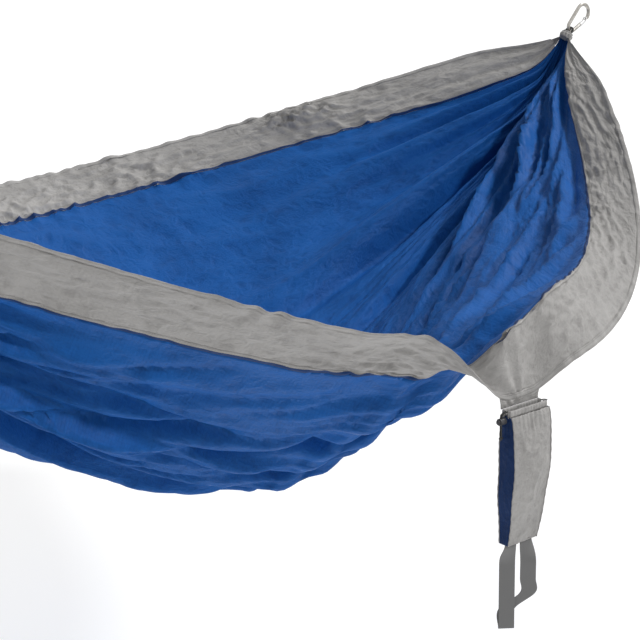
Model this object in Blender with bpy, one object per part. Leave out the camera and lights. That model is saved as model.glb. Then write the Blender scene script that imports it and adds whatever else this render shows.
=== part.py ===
"""A two-person camping hammock hung between its two carabiners, with the stuff sack on its near edge.

Metres, +Z up. The origin is where the right carabiner bears on its rope loop, the bed runs towards -X,
and the near edge, which carries the sack, is on the -Y side.
"""

import math

import bmesh
import bpy
import numpy as np
from mathutils import Matrix, Vector

# Cloth of the bed: how it is cut, and how it hangs.
THROAT_SPAN = 1.945  # between the two throats, where the cloth is gathered
CLOTH_WIDTH = 1.84  # across all three panels
SIDE_PANEL_WIDTH = 0.13  # grey panels, free edge to seam
CLOTH_THICKNESS = 0.001
HEM_WIDTH = 0.012
HEM_THICKNESS = 0.0020
SEAM_WIDTH = 0.011
SEAM_THICKNESS = 0.0020
SEWN_GAP = 0.0003  # clearance that stands for a sewn or seated contact

NEAR_SPREAD = 0.888  # how far the near edge stands out sideways at the middle
NEAR_DROP = 0.358  # and how far it hangs below the apex of its curve
NEAR_CURVE = 1.53  # power of that curve
NEAR_SKEW = 0.20  # how much fuller it is towards the right end
FAR_SPREAD = 0.765
FAR_DROP = 0.331
FAR_CURVE = 2.05
FAR_SKEW = -0.22
APEX_OVERHANG = 0.018  # the edges aim past the throat, and roll over into it
APEX_RISE = 0.034
APEX_ROLL_START = 0.84
NEAR_LEAN_DEG = 34.0  # slope of the near panel under the horizontal
NEAR_LEAN_TWIST_DEG = -36.0
FAR_LEAN_DEG = 22.0
FAR_LEAN_TWIST_DEG = -8.0
NEAR_END_LEAN_DEG = 35.0  # extra slope of the near panel at the right throat
FAR_END_LEAN_DEG = 40.0  # and of the far panel at both throats
NEAR_BELLY_REACH = 0.85  # how far the belly keeps the near panel's direction
FAR_BELLY_REACH = 1.0
PANEL_TAPER = 10  # power of the side panels' narrowing: they stay wide almost to the throat

# The sack's pull on the near edge.
SACK_STATION = -0.07  # along the bed, from -1 at the left throat to 1 at the right
SACK_PULL_DEPTH = 0.070
SACK_PULL_REACH = 0.080
SACK_TIP_DEG = 120.0  # how far the near panel tips over outwards there
SACK_TIP_FADE = 0.75
NECK_STATION = -0.14  # where the near panel flips and bunches together, beside the tab's left end
NECK_REACH = 0.034
NECK_SHARE = 0.45  # of the panel's width, that is left there
SACK_TIP_REACH = 0.09  # the flip takes this much of the bed's half length
TAUT_RISE = 0.030  # the edge lifts again just left of the sack
TAUT_RISE_AT = -0.20
TAUT_RISE_REACH = 0.06

# Main folds of the centre panel.
FOLD_COUNT = 5
FOLD_DEPTH = 0.011
FOLD_DEPTH_MIDDLE = 0.004
FOLD_PEAK = 0.60

# Rows and columns of the cloth.
ROWS_ALONG = 44
SEWING_STOP = 0.965  # hems and seams end here, where the gathers swallow them
CENTRE_COLUMNS = 14
SIDE_COLUMNS = 4

# Gathered ends and rope loops.
PULL_ANGLE_DEG = 47.0  # slope of the suspension that each carabiner hangs from
THROAT_RADIUS = 0.011
THROAT_ARC_DEG = 210.0
BUNDLE_LENGTH = 0.0127
BUNDLE_RADIUS = 0.0140
ROPE_RADIUS = 0.0025
ROPE_LOOP_RADIUS = 0.0095
LOOP_STANDOFF = 0.0130  # rope's outer arc beyond the bunched cloth

# Carabiner: spine, narrow end on the rope, wide end for the suspension.
BAR_RADIUS = 0.0040
CARABINER_LENGTH = 0.080
NARROW_BEND = 0.0110  # bar's centre line
WIDE_BEND = 0.0190
BAR_SIDES = 10
HINGE_RISE = 0.020  # gate hinge, along the flared leg from the narrow bend
LEG_PAST_HINGE = 0.0045
NOSE_ANGLE_DEG = 20.0  # the wide bend stops this far short of the leg's line
TONGUE_LENGTH = 0.006
TONGUE_RADIUS = 0.0022
WIRE_RADIUS = 0.00125
WIRE_SIDES = 6
WIRE_FOOT = 0.0022  # how far each wire end sits inside the hinge hole
GATE_CLEARANCE = 0.0004

# Stuff sack.
SACK_WIDTH = 0.092
SACK_TAPER = 0.022
SACK_HEIGHT = 0.246
SACK_MOUTH_DEPTH = 0.022
SACK_FULL_DEPTH = 0.038
SACK_WALL = 0.001
PANEL_BOW = 0.004
GUSSET_BOW = 0.002
SACK_ROWS = 12
SACK_COLUMNS = 5
TAB_HEIGHT = 0.009
TAB_THICKNESS = 0.0010
HINGE_GAP = 0.0006  # between the tab's lower edge and the sack, so that the sack can swing
CHANNEL_HEIGHT = 0.014
CHANNEL_DEPTH = 0.0052
CHANNEL_WALL = 0.0008
CHANNEL_CORNER = 0.0048
CHANNEL_SPLIT = 0.0065  # opening in each gusset where the cord comes out
BASE_THICKNESS = 0.0015

# Drawstring and its lock.
CORD_RADIUS = 0.0012
STRAND_PITCH = 0.0028
TAIL_LENGTH = 0.044
TAIL_STANDOFF = 0.0117  # of the tails from the sack's side
BIGHT_REACH = 0.009
LOCK_RADIUS = 0.0062
LOCK_WALL = 0.0014
LOCK_DROP = 0.018
PLUNGER_HEAD = 0.0030
LOCK_TRAVEL = 0.0022
LOCK_CLEARANCE = 0.0003
SPRING_WIRE = 0.0003
SPRING_TURNS = 3
SPRING_LENGTH = 0.0040
KNOT_RADIUS = 0.0042

# Webbing handle under the sack.
WEBBING_WIDTH = 0.028
WEBBING_THICKNESS = 0.0018
HANDLE_GAP = 0.0009  # under the base, so that the strap can swing
LEG_PITCH = 0.0375  # between the middles of the strap's two legs
HANDLE_DROP = 0.166
HANDLE_TWIST_DEG = -38.0
TWIST_LENGTH = 0.045
FOLD_STANDOFF = 0.0036  # of the returning strap behind the left leg
CROSS_LOW = 0.035  # above the fold, where the strap starts across to its right leg
CROSS_HIGH = 0.065

BLUE_INNER = (0.020, 0.115, 0.420)
BLUE_GUSSET = (0.020, 0.070, 0.200)
GREY_CLOTH = (0.330, 0.320, 0.310)
GREY_WEBBING = (0.190, 0.190, 0.190)
ROPE_COLOUR = (0.060, 0.060, 0.055)
METAL_COLOUR = (0.520, 0.520, 0.510)
DARK_PLASTIC = (0.025, 0.025, 0.030)
STEEL_COLOUR = (0.620, 0.620, 0.620)

PULL = math.radians(PULL_ANGLE_DEG)
RIGHT_PULL = np.array([math.cos(PULL), 0.0, math.sin(PULL)])
BAR_SEAT = ROPE_RADIUS + SEWN_GAP + BAR_RADIUS  # rope centre to bar centre
THROAT_REACH = SEWN_GAP + BUNDLE_LENGTH + LOOP_STANDOFF
RIGHT_THROAT = -THROAT_REACH * RIGHT_PULL
MIDDLE_X = RIGHT_THROAT[0] - THROAT_SPAN / 2
APEX_HALF_SPAN = THROAT_SPAN / 2 + APEX_OVERHANG
APEX_Z = RIGHT_THROAT[2] + APEX_RISE
CENTRE_WIDTH = CLOTH_WIDTH - 2 * SIDE_PANEL_WIDTH


def clear_scene():
    for obj in list(bpy.data.objects):
        bpy.data.objects.remove(obj)


def finish(name, colour, roughness, metallic=0.0):
    """A plain Principled material."""
    material = bpy.data.materials.new(name)
    material.use_nodes = True
    shader = material.node_tree.nodes["Principled BSDF"]
    shader.inputs["Base Color"].default_value = (*colour, 1.0)
    shader.inputs["Roughness"].default_value = roughness
    shader.inputs["Metallic"].default_value = metallic
    return material


def add_object(name, mesh, material, smooth_angle=50):
    obj = bpy.data.objects.new(name, mesh)
    bpy.context.collection.objects.link(obj)
    mesh.materials.append(material)
    mesh.shade_smooth()
    mesh.set_sharp_from_angle(angle=math.radians(smooth_angle))
    return obj


def mesh_from_bmesh(name, bm):
    bmesh.ops.recalc_face_normals(bm, faces=bm.faces)
    mesh = bpy.data.meshes.new(name)
    bm.to_mesh(mesh)
    bm.free()
    return mesh


def smoothstep(x):
    x = np.clip(x, 0.0, 1.0)
    return x * x * (3 - 2 * x)


def directions(angle):
    """Unit vectors in the YZ plane, angle under the horizontal, towards +Y."""
    return np.stack([0 * angle, np.cos(angle), -np.sin(angle)], -1)


def near_edge(u):
    """Free near edge: a power curve, drawn to a level line where the sack hangs."""
    curve = (1 - np.abs(u) ** NEAR_CURVE) * (1 + NEAR_SKEW * u)
    y = -NEAR_SPREAD * curve
    z = -NEAR_DROP * curve + TAUT_RISE * np.exp(-(((u - TAUT_RISE_AT) / TAUT_RISE_REACH) ** 2))
    at_sack = (1 - abs(SACK_STATION) ** NEAR_CURVE) * (1 + NEAR_SKEW * SACK_STATION)
    share = 1 / (1 + (np.abs(u - SACK_STATION) / SACK_PULL_REACH) ** 4)
    y = y + share * (-NEAR_SPREAD * at_sack - y)
    z = z + share * (-NEAR_DROP * at_sack - SACK_PULL_DEPTH - z)
    return np.stack([MIDDLE_X + APEX_HALF_SPAN * u, y, APEX_Z + z], -1)


def far_edge(u):
    curve = (1 - np.abs(u) ** FAR_CURVE) * (1 + FAR_SKEW * u)
    return np.stack([MIDDLE_X + APEX_HALF_SPAN * u, FAR_SPREAD * curve, APEX_Z - FAR_DROP * curve], -1)


def bed_surface(u, v):
    """Middle surface of the bed. u runs from -1 to 1 between the throats, v from the near edge across."""
    near, far = near_edge(u), far_edge(u)
    taper = 1 - np.abs(u) ** PANEL_TAPER
    near_lean = NEAR_LEAN_DEG + NEAR_LEAN_TWIST_DEG * u + NEAR_END_LEAN_DEG * np.clip(u, 0, 1) ** 6
    near_lean = np.radians(near_lean)
    far_lean = np.radians(FAR_LEAN_DEG + FAR_LEAN_TWIST_DEG * u + FAR_END_LEAN_DEG * np.abs(u) ** 6)
    past_sack = np.clip((u - SACK_STATION) / SACK_TIP_FADE, 0, 1)
    tipped = smoothstep((u - NECK_STATION) / SACK_TIP_REACH + 0.5) * (1 - past_sack) ** 1.4
    panel_dir = directions(near_lean - math.radians(SACK_TIP_DEG) * tipped)
    far_dir = directions(far_lean) * np.array([1, -1, 1])
    width = (SIDE_PANEL_WIDTH * taper)[..., None]
    neck = 1 - (1 - NECK_SHARE) * np.exp(-(((u - NECK_STATION) / NECK_REACH) ** 2))
    near_seam, far_seam = near + width * neck[..., None] * panel_dir, far + width * far_dir

    fullness = (1 - np.abs(u) ** ((NEAR_CURVE + FAR_CURVE) / 2))[..., None]
    near_hold = near_seam + NEAR_BELLY_REACH * fullness * directions(near_lean)
    far_hold = far_seam + FAR_BELLY_REACH * fullness * far_dir
    s = np.clip((v - SIDE_PANEL_WIDTH) / CENTRE_WIDTH, 0, 1)[..., None]
    belly = (
        (1 - s) ** 3 * near_seam
        + 3 * (1 - s) ** 2 * s * near_hold
        + 3 * (1 - s) * s**2 * far_hold
        + s**3 * far_seam
    )
    v_near = np.clip(v / SIDE_PANEL_WIDTH, 0, 1)[..., None]
    v_far = np.clip((CLOTH_WIDTH - v) / SIDE_PANEL_WIDTH, 0, 1)[..., None]
    point = np.where(v[..., None] < SIDE_PANEL_WIDTH, near + (near_seam - near) * v_near, belly)
    point = np.where(v[..., None] > CLOTH_WIDTH - SIDE_PANEL_WIDTH, far + (far_seam - far) * v_far, point)

    side = np.sign(u)
    turn = math.radians(THROAT_ARC_DEG) * (v / CLOTH_WIDTH - 0.5)
    out = THROAT_RADIUS * np.cos(turn)
    ring = np.stack([side * out * math.sin(PULL), THROAT_RADIUS * np.sin(turn), -out * math.cos(PULL)], -1)
    drawn = np.stack([-side * APEX_OVERHANG, 0 * u, 0 * u - APEX_RISE], -1)
    share = smoothstep((np.abs(u) - APEX_ROLL_START) / (1 - APEX_ROLL_START))[..., None]
    return point + share * (ring + drawn)


def surface_normal(u, v):
    """Unit normal from central differences, one-sided at the throats."""
    step = 1e-4
    along = bed_surface(np.minimum(u + step, 1), v) - bed_surface(np.maximum(u - step, -1), v)
    across = bed_surface(u, v + step) - bed_surface(u, v - step)
    normal = np.cross(along, across)
    return normal / np.linalg.norm(normal, axis=-1, keepdims=True)


def fold_depth(u, v):
    """Main folds of the centre panel: waves across the cloth, deepest near the throats."""
    s = np.clip((v - SIDE_PANEL_WIDTH) / CENTRE_WIDTH, 0, 1)
    a = np.abs(u)
    depth = FOLD_DEPTH_MIDDLE + (FOLD_DEPTH - FOLD_DEPTH_MIDDLE) * smoothstep(a / FOLD_PEAK)
    depth = depth * smoothstep((1 - a) / (1 - FOLD_PEAK))
    calm_edges = smoothstep(s / 0.12) * smoothstep((1 - s) / 0.12)
    wave = np.sin(2 * math.pi * FOLD_COUNT * s + 1.3 * np.sin(2.0 * u))
    return depth * calm_edges * wave


def bed_rows():
    """Stations along the bed, closer together at the throats and beside the sack."""
    fine = np.linspace(-1, 1, 4001)
    density = 1 + 2.5 * np.exp(-(((1 - np.abs(fine)) / 0.12) ** 2))
    density += 6.0 * np.exp(-(((1 - np.abs(fine)) / 0.035) ** 2))
    density += 11.0 * np.exp(-(((fine - NECK_STATION) / 0.055) ** 2))
    total = np.concatenate([[0], np.cumsum((density[1:] + density[:-1]) / 2)])
    return np.interp(np.linspace(0, total[-1], ROWS_ALONG), total, fine)


def closed_walls(name, outer, inner):
    """A closed solid between two grids of points: two faces and a rim."""
    rows, columns = outer.shape[:2]
    bm = bmesh.new()
    top, bottom = [
        [[bm.verts.new(grid[i, j]) for j in range(columns)] for i in range(rows)]
        for grid in (outer, inner)
    ]
    for i in range(rows - 1):
        for j in range(columns - 1):
            bm.faces.new((top[i][j], top[i + 1][j], top[i + 1][j + 1], top[i][j + 1]))
            bm.faces.new((bottom[i][j], bottom[i][j + 1], bottom[i + 1][j + 1], bottom[i + 1][j]))
    edge = [(i, 0) for i in range(rows)] + [(rows - 1, j) for j in range(1, columns)]
    edge += [(i, columns - 1) for i in range(rows - 2, -1, -1)]
    edge += [(0, j) for j in range(columns - 2, 0, -1)]
    for a, b in zip(edge, edge[1:] + edge[:1]):
        # The rim's diagonals all run the same way, so facing rims of two sheets stay parallel.
        top_a, top_b = top[a[0]][a[1]], top[b[0]][b[1]]
        low_a, low_b = bottom[a[0]][a[1]], bottom[b[0]][b[1]]
        if a < b:
            bm.faces.new((top_a, low_a, low_b))
            bm.faces.new((top_a, low_b, top_b))
        else:
            bm.faces.new((top_a, low_a, top_b))
            bm.faces.new((low_a, low_b, top_b))
    return mesh_from_bmesh(name, bm)


def bed_strip(name, v_start, v_end, columns, thickness, material, folded=False, sewing=False):
    rows = bed_rows()
    if sewing:
        rows = rows[np.abs(rows) <= SEWING_STOP]
    u, v = np.meshgrid(rows, np.linspace(v_start, v_end, columns), indexing="ij")
    normal = surface_normal(u, v)
    middle = bed_surface(u, v)
    if folded:
        middle = middle + fold_depth(u, v)[..., None] * normal
    half = 0.5 * thickness * normal
    return add_object(name, closed_walls(name, middle + half, middle - half), material)


def build_bed():
    grey = finish("grey_side_cloth", GREY_CLOTH, 0.6)
    blue = finish("blue_centre_cloth", BLUE_INNER, 0.6)
    thread = finish("grey_seam_cloth", GREY_CLOTH, 0.7)
    half_seam, far_side = SEAM_WIDTH / 2, CLOTH_WIDTH - SIDE_PANEL_WIDTH
    inner = SIDE_PANEL_WIDTH - half_seam - SEWN_GAP
    bed_strip("near_edge_hem", 0, HEM_WIDTH, 2, HEM_THICKNESS, grey, sewing=True)
    bed_strip("near_side_panel", HEM_WIDTH + 3 * SEWN_GAP, inner, SIDE_COLUMNS, CLOTH_THICKNESS, grey)
    for name, line in (("near_panel_seam", SIDE_PANEL_WIDTH), ("far_panel_seam", far_side)):
        bed_strip(name, line - half_seam, line + half_seam, 3, SEAM_THICKNESS, thread, sewing=True)
    bed_strip(
        "centre_panel",
        SIDE_PANEL_WIDTH + half_seam + SEWN_GAP,
        far_side - half_seam - SEWN_GAP,
        CENTRE_COLUMNS,
        CLOTH_THICKNESS,
        blue,
        folded=True,
    )
    far_start, far_end = CLOTH_WIDTH - inner, CLOTH_WIDTH - HEM_WIDTH - SEWN_GAP
    bed_strip("far_side_panel", far_start, far_end, SIDE_COLUMNS, CLOTH_THICKNESS, grey)
    bed_strip("far_edge_hem", CLOTH_WIDTH - HEM_WIDTH, CLOTH_WIDTH, 2, HEM_THICKNESS, grey, sewing=True)


def end_frame(side):
    """Frame of an end: X away from the bed along the pull, Y across, origin on the rope's centre."""
    pull = Vector((side * math.cos(PULL), 0, math.sin(PULL)))
    across = Vector((0, side, 0))
    origin_x = 0.0 if side > 0 else 2 * MIDDLE_X
    frame = Matrix((pull, across, pull.cross(across))).transposed().to_4x4()
    frame.translation = Vector((origin_x, 0, 0))
    return frame


def turned(profile, segments, axis_frame):
    """A solid turned about the frame's X axis, from (along, radius) points that start and end on it."""
    bm = bmesh.new()
    rings = []
    for along, radius in profile:
        if radius == 0:
            rings.append([bm.verts.new((along, 0, 0))])
            continue
        angles = [2 * math.pi * k / segments for k in range(segments)]
        rings.append([bm.verts.new((along, radius * math.cos(a), radius * math.sin(a))) for a in angles])
    for first, second in zip(rings, rings[1:]):
        for k in range(segments):
            m = (k + 1) % segments
            around = ((first, k), (first, m), (second, m), (second, k))
            bm.faces.new(list(dict.fromkeys(ring[i % len(ring)] for ring, i in around)))
    bm.transform(axis_frame)
    return bm


def torus(major, minor, steps, sides, centre, frame):
    """A ring about the frame's Z axis, centred on the frame's X axis."""
    bm = bmesh.new()
    rings = []
    for i in range(steps):
        a = 2 * math.pi * i / steps
        ring = []
        for k in range(sides):
            b = 2 * math.pi * k / sides
            radius = major + minor * math.cos(b)
            point = (centre + radius * math.cos(a), radius * math.sin(a), minor * math.sin(b))
            ring.append(bm.verts.new(point))
        rings.append(ring)
    for i in range(steps):
        for k in range(sides):
            first, second = rings[i], rings[(i + 1) % steps]
            m = (k + 1) % sides
            bm.faces.new((first[k], second[k], second[m], first[m]))
    bm.transform(frame)
    return bm


def cut(obj, cutter):
    """Boolean difference that stays on the object; the cutter is hidden."""
    cutter.hide_render = True
    cutter.display_type = "WIRE"
    modifier = obj.modifiers.new("cut_" + cutter.name, "BOOLEAN")
    modifier.operation = "DIFFERENCE"
    modifier.solver = "EXACT"
    modifier.object = cutter


def build_end(side, label):
    """The bunched cloth end, and the rope loop that passes through it."""
    frame = end_frame(side)
    start = -THROAT_REACH + SEWN_GAP
    profile = (
        (start, 0),
        (start, BUNDLE_RADIUS * 0.86),
        (start + 0.25 * BUNDLE_LENGTH, BUNDLE_RADIUS),
        (start + 0.70 * BUNDLE_LENGTH, BUNDLE_RADIUS * 0.97),
        (start + BUNDLE_LENGTH, BUNDLE_RADIUS * 0.80),
        (start + BUNDLE_LENGTH, 0),
    )
    cloth = finish(label + "_bunched_cloth", GREY_CLOTH, 0.7)
    name = label + "_gathered_end"
    bundle = add_object(name, mesh_from_bmesh(name, turned(profile, 24, frame)), cloth)
    tunnel_bm = torus(ROPE_LOOP_RADIUS, ROPE_RADIUS + SEWN_GAP, 32, 12, -ROPE_LOOP_RADIUS, frame)
    tunnel = add_object(name + "_tunnel", mesh_from_bmesh(name + "_tunnel", tunnel_bm), cloth)
    cut(bundle, tunnel)
    rope_bm = torus(ROPE_LOOP_RADIUS, ROPE_RADIUS, 32, 8, -ROPE_LOOP_RADIUS, frame)
    rope_name = label + "_rope_loop"
    rope = finish(rope_name, ROPE_COLOUR, 0.8)
    add_object(rope_name, mesh_from_bmesh(rope_name, rope_bm), rope)


def swept_bar(name, points, radii, sides, material):
    """A round bar along points, each with its own radius, closed by flat caps."""
    points = [Vector(p) for p in points]
    normal = None
    bm = bmesh.new()
    rings = []
    for i, (point, radius) in enumerate(zip(points, radii)):
        ahead = points[min(i + 1, len(points) - 1)] - points[max(i - 1, 0)]
        ahead.normalize()
        if normal is None:
            normal = ahead.orthogonal()
        normal = (normal - normal.dot(ahead) * ahead).normalized()
        third = ahead.cross(normal)
        angles = [2 * math.pi * k / sides for k in range(sides)]
        offsets = [radius * (math.cos(a) * normal + math.sin(a) * third) for a in angles]
        rings.append([bm.verts.new(point + offset) for offset in offsets])
    for first, second in zip(rings, rings[1:]):
        for k in range(sides):
            m = (k + 1) % sides
            bm.faces.new((first[k], first[m], second[m], second[k]))
    bm.faces.new(list(reversed(rings[0])))
    bm.faces.new(rings[-1])
    return add_object(name, mesh_from_bmesh(name, bm), material)


def arc(centre, radius, start, end, steps):
    angles = np.linspace(start, end, steps)
    return [(centre[0] + radius * math.cos(a), centre[1] + radius * math.sin(a)) for a in angles]


def carabiner_bends():
    """Centres of the two bends in the (along, across) plane, and the slope of the flared leg."""
    narrow = (NARROW_BEND - BAR_SEAT, 0.0)
    wide_along = CARABINER_LENGTH - BAR_SEAT - 2 * BAR_RADIUS - WIDE_BEND
    offset = WIDE_BEND - NARROW_BEND  # keeps the spine in line with the pull
    run = wide_along - narrow[0]
    flare = math.atan2(offset, run) + math.asin(offset / math.hypot(run, offset))
    return narrow, (wide_along, offset), flare


def on_leg(distance, inside=0.0):
    """A point of the flared leg's line, distance from the narrow bend, shifted towards the inside."""
    narrow, _, flare = carabiner_bends()
    reach = NARROW_BEND - inside
    along = narrow[0] - math.sin(flare) * reach + math.cos(flare) * distance
    across = narrow[1] + math.cos(flare) * reach + math.sin(flare) * distance
    return along, across


def in_end(frame, point, sideways=0.0):
    return frame @ Vector((point[0], sideways, -point[1]))


def tongue_line():
    """Middle line of the nose's tongue: it points from the wide bend's end back to the hinge."""
    _, wide, flare = carabiner_bends()
    stop = math.radians(90 - NOSE_ANGLE_DEG) + flare
    start = (wide[0] + WIDE_BEND * math.cos(stop), wide[1] + WIDE_BEND * math.sin(stop))
    back = (-math.cos(flare), -math.sin(flare))
    return start, back, 2 * math.pi + stop


def build_carabiner(side, label):
    """Body bent from one bar, and the wire gate whose feet turn in its hinge hole."""
    frame = end_frame(side)
    narrow, wide, flare = carabiner_bends()
    metal = finish(label + "_carabiner_metal", METAL_COLOUR, 0.35, 1.0)
    tongue_start, back, stop = tongue_line()
    half_turn = math.pi / 2
    line = [on_leg(HINGE_RISE + LEG_PAST_HINGE), on_leg(HINGE_RISE * 0.5)]
    line += arc(narrow, NARROW_BEND, half_turn + flare, 3 * half_turn, 12)
    line += [(narrow[0] + (wide[0] - narrow[0]) * t, -NARROW_BEND) for t in (0.33, 0.67)]
    line += arc(wide, WIDE_BEND, 3 * half_turn, stop, 18)
    radii = [BAR_RADIUS] * len(line)
    steps = ((0.0005, TONGUE_RADIUS * 1.3), (0.001, TONGUE_RADIUS), (TONGUE_LENGTH, TONGUE_RADIUS))
    for reach, radius in steps:
        line.append((tongue_start[0] + back[0] * reach, tongue_start[1] + back[1] * reach))
        radii.append(radius)
    name = label + "_carabiner_body"
    body = swept_bar(name, [in_end(frame, p) for p in line], radii, BAR_SIDES, metal)
    hinge = on_leg(HINGE_RISE)
    hole_ends = [in_end(frame, hinge, y) for y in (-2 * BAR_RADIUS, 2 * BAR_RADIUS)]
    hole = swept_bar(name + "_hole", hole_ends, [WIRE_RADIUS + SEWN_GAP] * 2, 12, metal)
    cut(body, hole)

    wire = finish(label + "_gate_steel", STEEL_COLOUR, 0.3, 1.0)
    leg_y = BAR_RADIUS + GATE_CLEARANCE + WIRE_RADIUS
    nose_y = TONGUE_RADIUS + GATE_CLEARANCE + WIRE_RADIUS + 0.0002
    mid_tongue = (
        tongue_start[0] + back[0] * TONGUE_LENGTH / 2,
        tongue_start[1] + back[1] * TONGUE_LENGTH / 2,
    )
    leg_zero = on_leg(0)
    to_tongue = (mid_tongue[0] - leg_zero[0], mid_tongue[1] - leg_zero[1])
    far_reach = to_tongue[0] * math.cos(flare) + to_tongue[1] * math.sin(flare)
    inset = to_tongue[0] * math.sin(flare) - to_tongue[1] * math.cos(flare)
    cross_in = inset + TONGUE_RADIUS + GATE_CLEARANCE + WIRE_RADIUS
    half = [
        (HINGE_RISE, 0, BAR_RADIUS - WIRE_FOOT),
        (HINGE_RISE, 0, leg_y - 0.0012),
        (HINGE_RISE + 0.0003, 0, leg_y - 0.0004),
        (HINGE_RISE + 0.0012, 0, leg_y),
        (HINGE_RISE + 0.0045, 0, leg_y),
        (far_reach - 0.0085, 0, nose_y + 0.0002),
        (far_reach - 0.0050, cross_in * 0.25, nose_y),
        (far_reach - 0.0012, cross_in * 0.85, nose_y),
        (far_reach, cross_in, nose_y - 0.0012),
    ]
    loop = half + [(far, inside, -y) for far, inside, y in reversed(half)]
    points = [in_end(frame, on_leg(far, inside), y) for far, inside, y in loop]
    swept_bar(label + "_carabiner_gate", points, [WIRE_RADIUS] * len(points), WIRE_SIDES, wire)


def edge_line(x):
    """The hem's own edge as its facets run, at positions x."""
    edge = near_edge(bed_rows())
    return np.interp(x, edge[:, 0], edge[:, 1]), np.interp(x, edge[:, 0], edge[:, 2])


def sack_origin():
    """Middle of the line on which the sack turns: the lower edge of its tab, at the back of the mouth."""
    middle = near_edge(np.array(SACK_STATION))
    x = middle[0] + np.linspace(-SACK_WIDTH / 2, SACK_WIDTH / 2, 9)
    lowest = edge_line(x)[1].min()
    return np.array([middle[0], middle[1], lowest - SEWN_GAP - TAB_HEIGHT])


def build_tab():
    """The strip that joins the sack's back to the hem."""
    origin = sack_origin()
    x = origin[0] + np.linspace(-SACK_WIDTH / 2, SACK_WIDTH / 2, 9)
    y, z = edge_line(x)
    top = np.stack([x, y, z - 0.6 * HEM_THICKNESS - SEWN_GAP], -1)
    low = np.stack([x, np.full_like(x, origin[1]), np.full_like(x, origin[2])], -1)
    middle = np.stack([top, (top + low) / 2, low], 1)
    half = np.array([0, TAB_THICKNESS / 2, 0])
    cloth = finish("sack_tab_cloth", GREY_CLOTH, 0.7)
    add_object("sack_tab", closed_walls("sack_tab", middle - half, middle + half), cloth)


def sack_corners(h):
    """x of both sides and y of front and back at share h of the sack's height, from its origin."""
    left = np.full_like(h, -SACK_WIDTH / 2)
    right = SACK_WIDTH / 2 - SACK_TAPER * h**2
    fill = (SACK_FULL_DEPTH - SACK_MOUTH_DEPTH) * np.sin(math.pi * np.clip(h, 0, 1) ** 0.8)
    back = TAB_THICKNESS / 2 + 0.3 * fill
    front = TAB_THICKNESS / 2 - SACK_MOUTH_DEPTH - 0.7 * fill
    return left, right, front, back


def sack_side(h, a, side):
    """Outer point and inward step of one side of the sack, mitred at its corners."""
    left, right, front, back = sack_corners(h)
    corners = {"front": (left, front), "right": (right, front), "back": (right, back), "left": (left, back)}
    order = ["front", "right", "back", "left"]
    x0, y0 = corners[side]
    x1, y1 = corners[order[(order.index(side) + 1) % 4]]
    out = {"front": (0, -1), "right": (1, 0), "back": (0, 1), "left": (-1, 0)}[side]
    bow_size = PANEL_BOW if side in ("front", "back") else GUSSET_BOW
    bow = bow_size * np.sin(math.pi * a) * np.sin(math.pi * np.clip(h, 0, 1)) ** 0.6
    x, y = x0 + (x1 - x0) * a + bow * out[0], y0 + (y1 - y0) * a + bow * out[1]
    skew = 1 - 2 * a
    step_x, step_y = -out[0] - out[1] * skew, -out[1] + out[0] * skew
    origin = sack_origin()
    outer = np.stack([origin[0] + x, origin[1] + y, origin[2] - HINGE_GAP - h * SACK_HEIGHT], -1)
    return outer, np.stack([step_x, step_y, 0 * x], -1)


def build_sack_walls():
    """Four sewn panels, from under the mouth's channel to the base."""
    start = (CHANNEL_HEIGHT + SEWN_GAP) / SACK_HEIGHT
    grey = finish("sack_grey_cloth", GREY_CLOTH, 0.6)
    blue = finish("sack_blue_cloth", BLUE_GUSSET, 0.6)
    names = {"front": "sack_front_panel", "right": "sack_right_gusset"}
    names.update({"back": "sack_back_panel", "left": "sack_left_gusset"})
    for side, name in names.items():
        trim = SEWN_GAP / (SACK_WIDTH if side in ("front", "back") else SACK_MOUTH_DEPTH)
        rows, across = np.linspace(start, 1, SACK_ROWS), np.linspace(trim, 1 - trim, SACK_COLUMNS)
        h, a = np.meshgrid(rows, across, indexing="ij")
        outer, step = sack_side(h, a, side)
        material = grey if side in ("front", "back") else blue
        add_object(name, closed_walls(name, outer, outer + SACK_WALL * step), material)


def extruded(name, outline, low, high, material):
    """A flat plate: an outline of (x, y) points between two heights."""
    bm = bmesh.new()
    bottom = [bm.verts.new((x, y, low)) for x, y in outline]
    top = [bm.verts.new((x, y, high)) for x, y in outline]
    bm.faces.new(bottom)
    bm.faces.new(top)
    for i in range(len(outline)):
        k = (i + 1) % len(outline)
        bm.faces.new((bottom[i], bottom[k], top[k], top[i]))
    return add_object(name, mesh_from_bmesh(name, bm), material)


def build_sack_base():
    """Flat base panel, inside the foot of the four walls."""
    inset = SACK_WALL + SEWN_GAP
    left, right, front, back = (float(c) for c in sack_corners(np.array(1.0)))
    origin = sack_origin()
    low = origin[2] - HINGE_GAP - SACK_HEIGHT
    outline = [(left, front), (right, front), (right, back), (left, back)]
    centre = ((left + right) / 2, (front + back) / 2)
    points = []
    for x, y in outline:
        in_x, in_y = x - math.copysign(inset, x - centre[0]), y - math.copysign(inset, y - centre[1])
        points.append((origin[0] + in_x, origin[1] + in_y))
    extruded("sack_base", points, low, low + BASE_THICKNESS, finish("sack_base_cloth", GREY_CLOTH, 0.7))


def channel_path(front_side):
    """Middle line of half of the mouth's channel, seen from above, from the left split to the right one."""
    left, right, front, back = (float(c) for c in sack_corners(np.array(0.0)))
    half = CHANNEL_DEPTH / 2
    middle = (front + back) / 2
    sign = -1 if front_side else 1
    edge = (front + half) if front_side else (back - half)
    side_y = middle + sign * CHANNEL_SPLIT / 2
    r = CHANNEL_CORNER
    path = [(left + half, side_y)]
    for corner_x, start in ((left + half + r, math.pi), (right - half - r, math.pi / 2)):
        for k in range(5):
            a = start - math.pi / 2 * k / 4
            path.append((corner_x + r * math.cos(a), edge - sign * r + sign * r * math.sin(a)))
    path.append((right - half, side_y))
    return path


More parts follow.
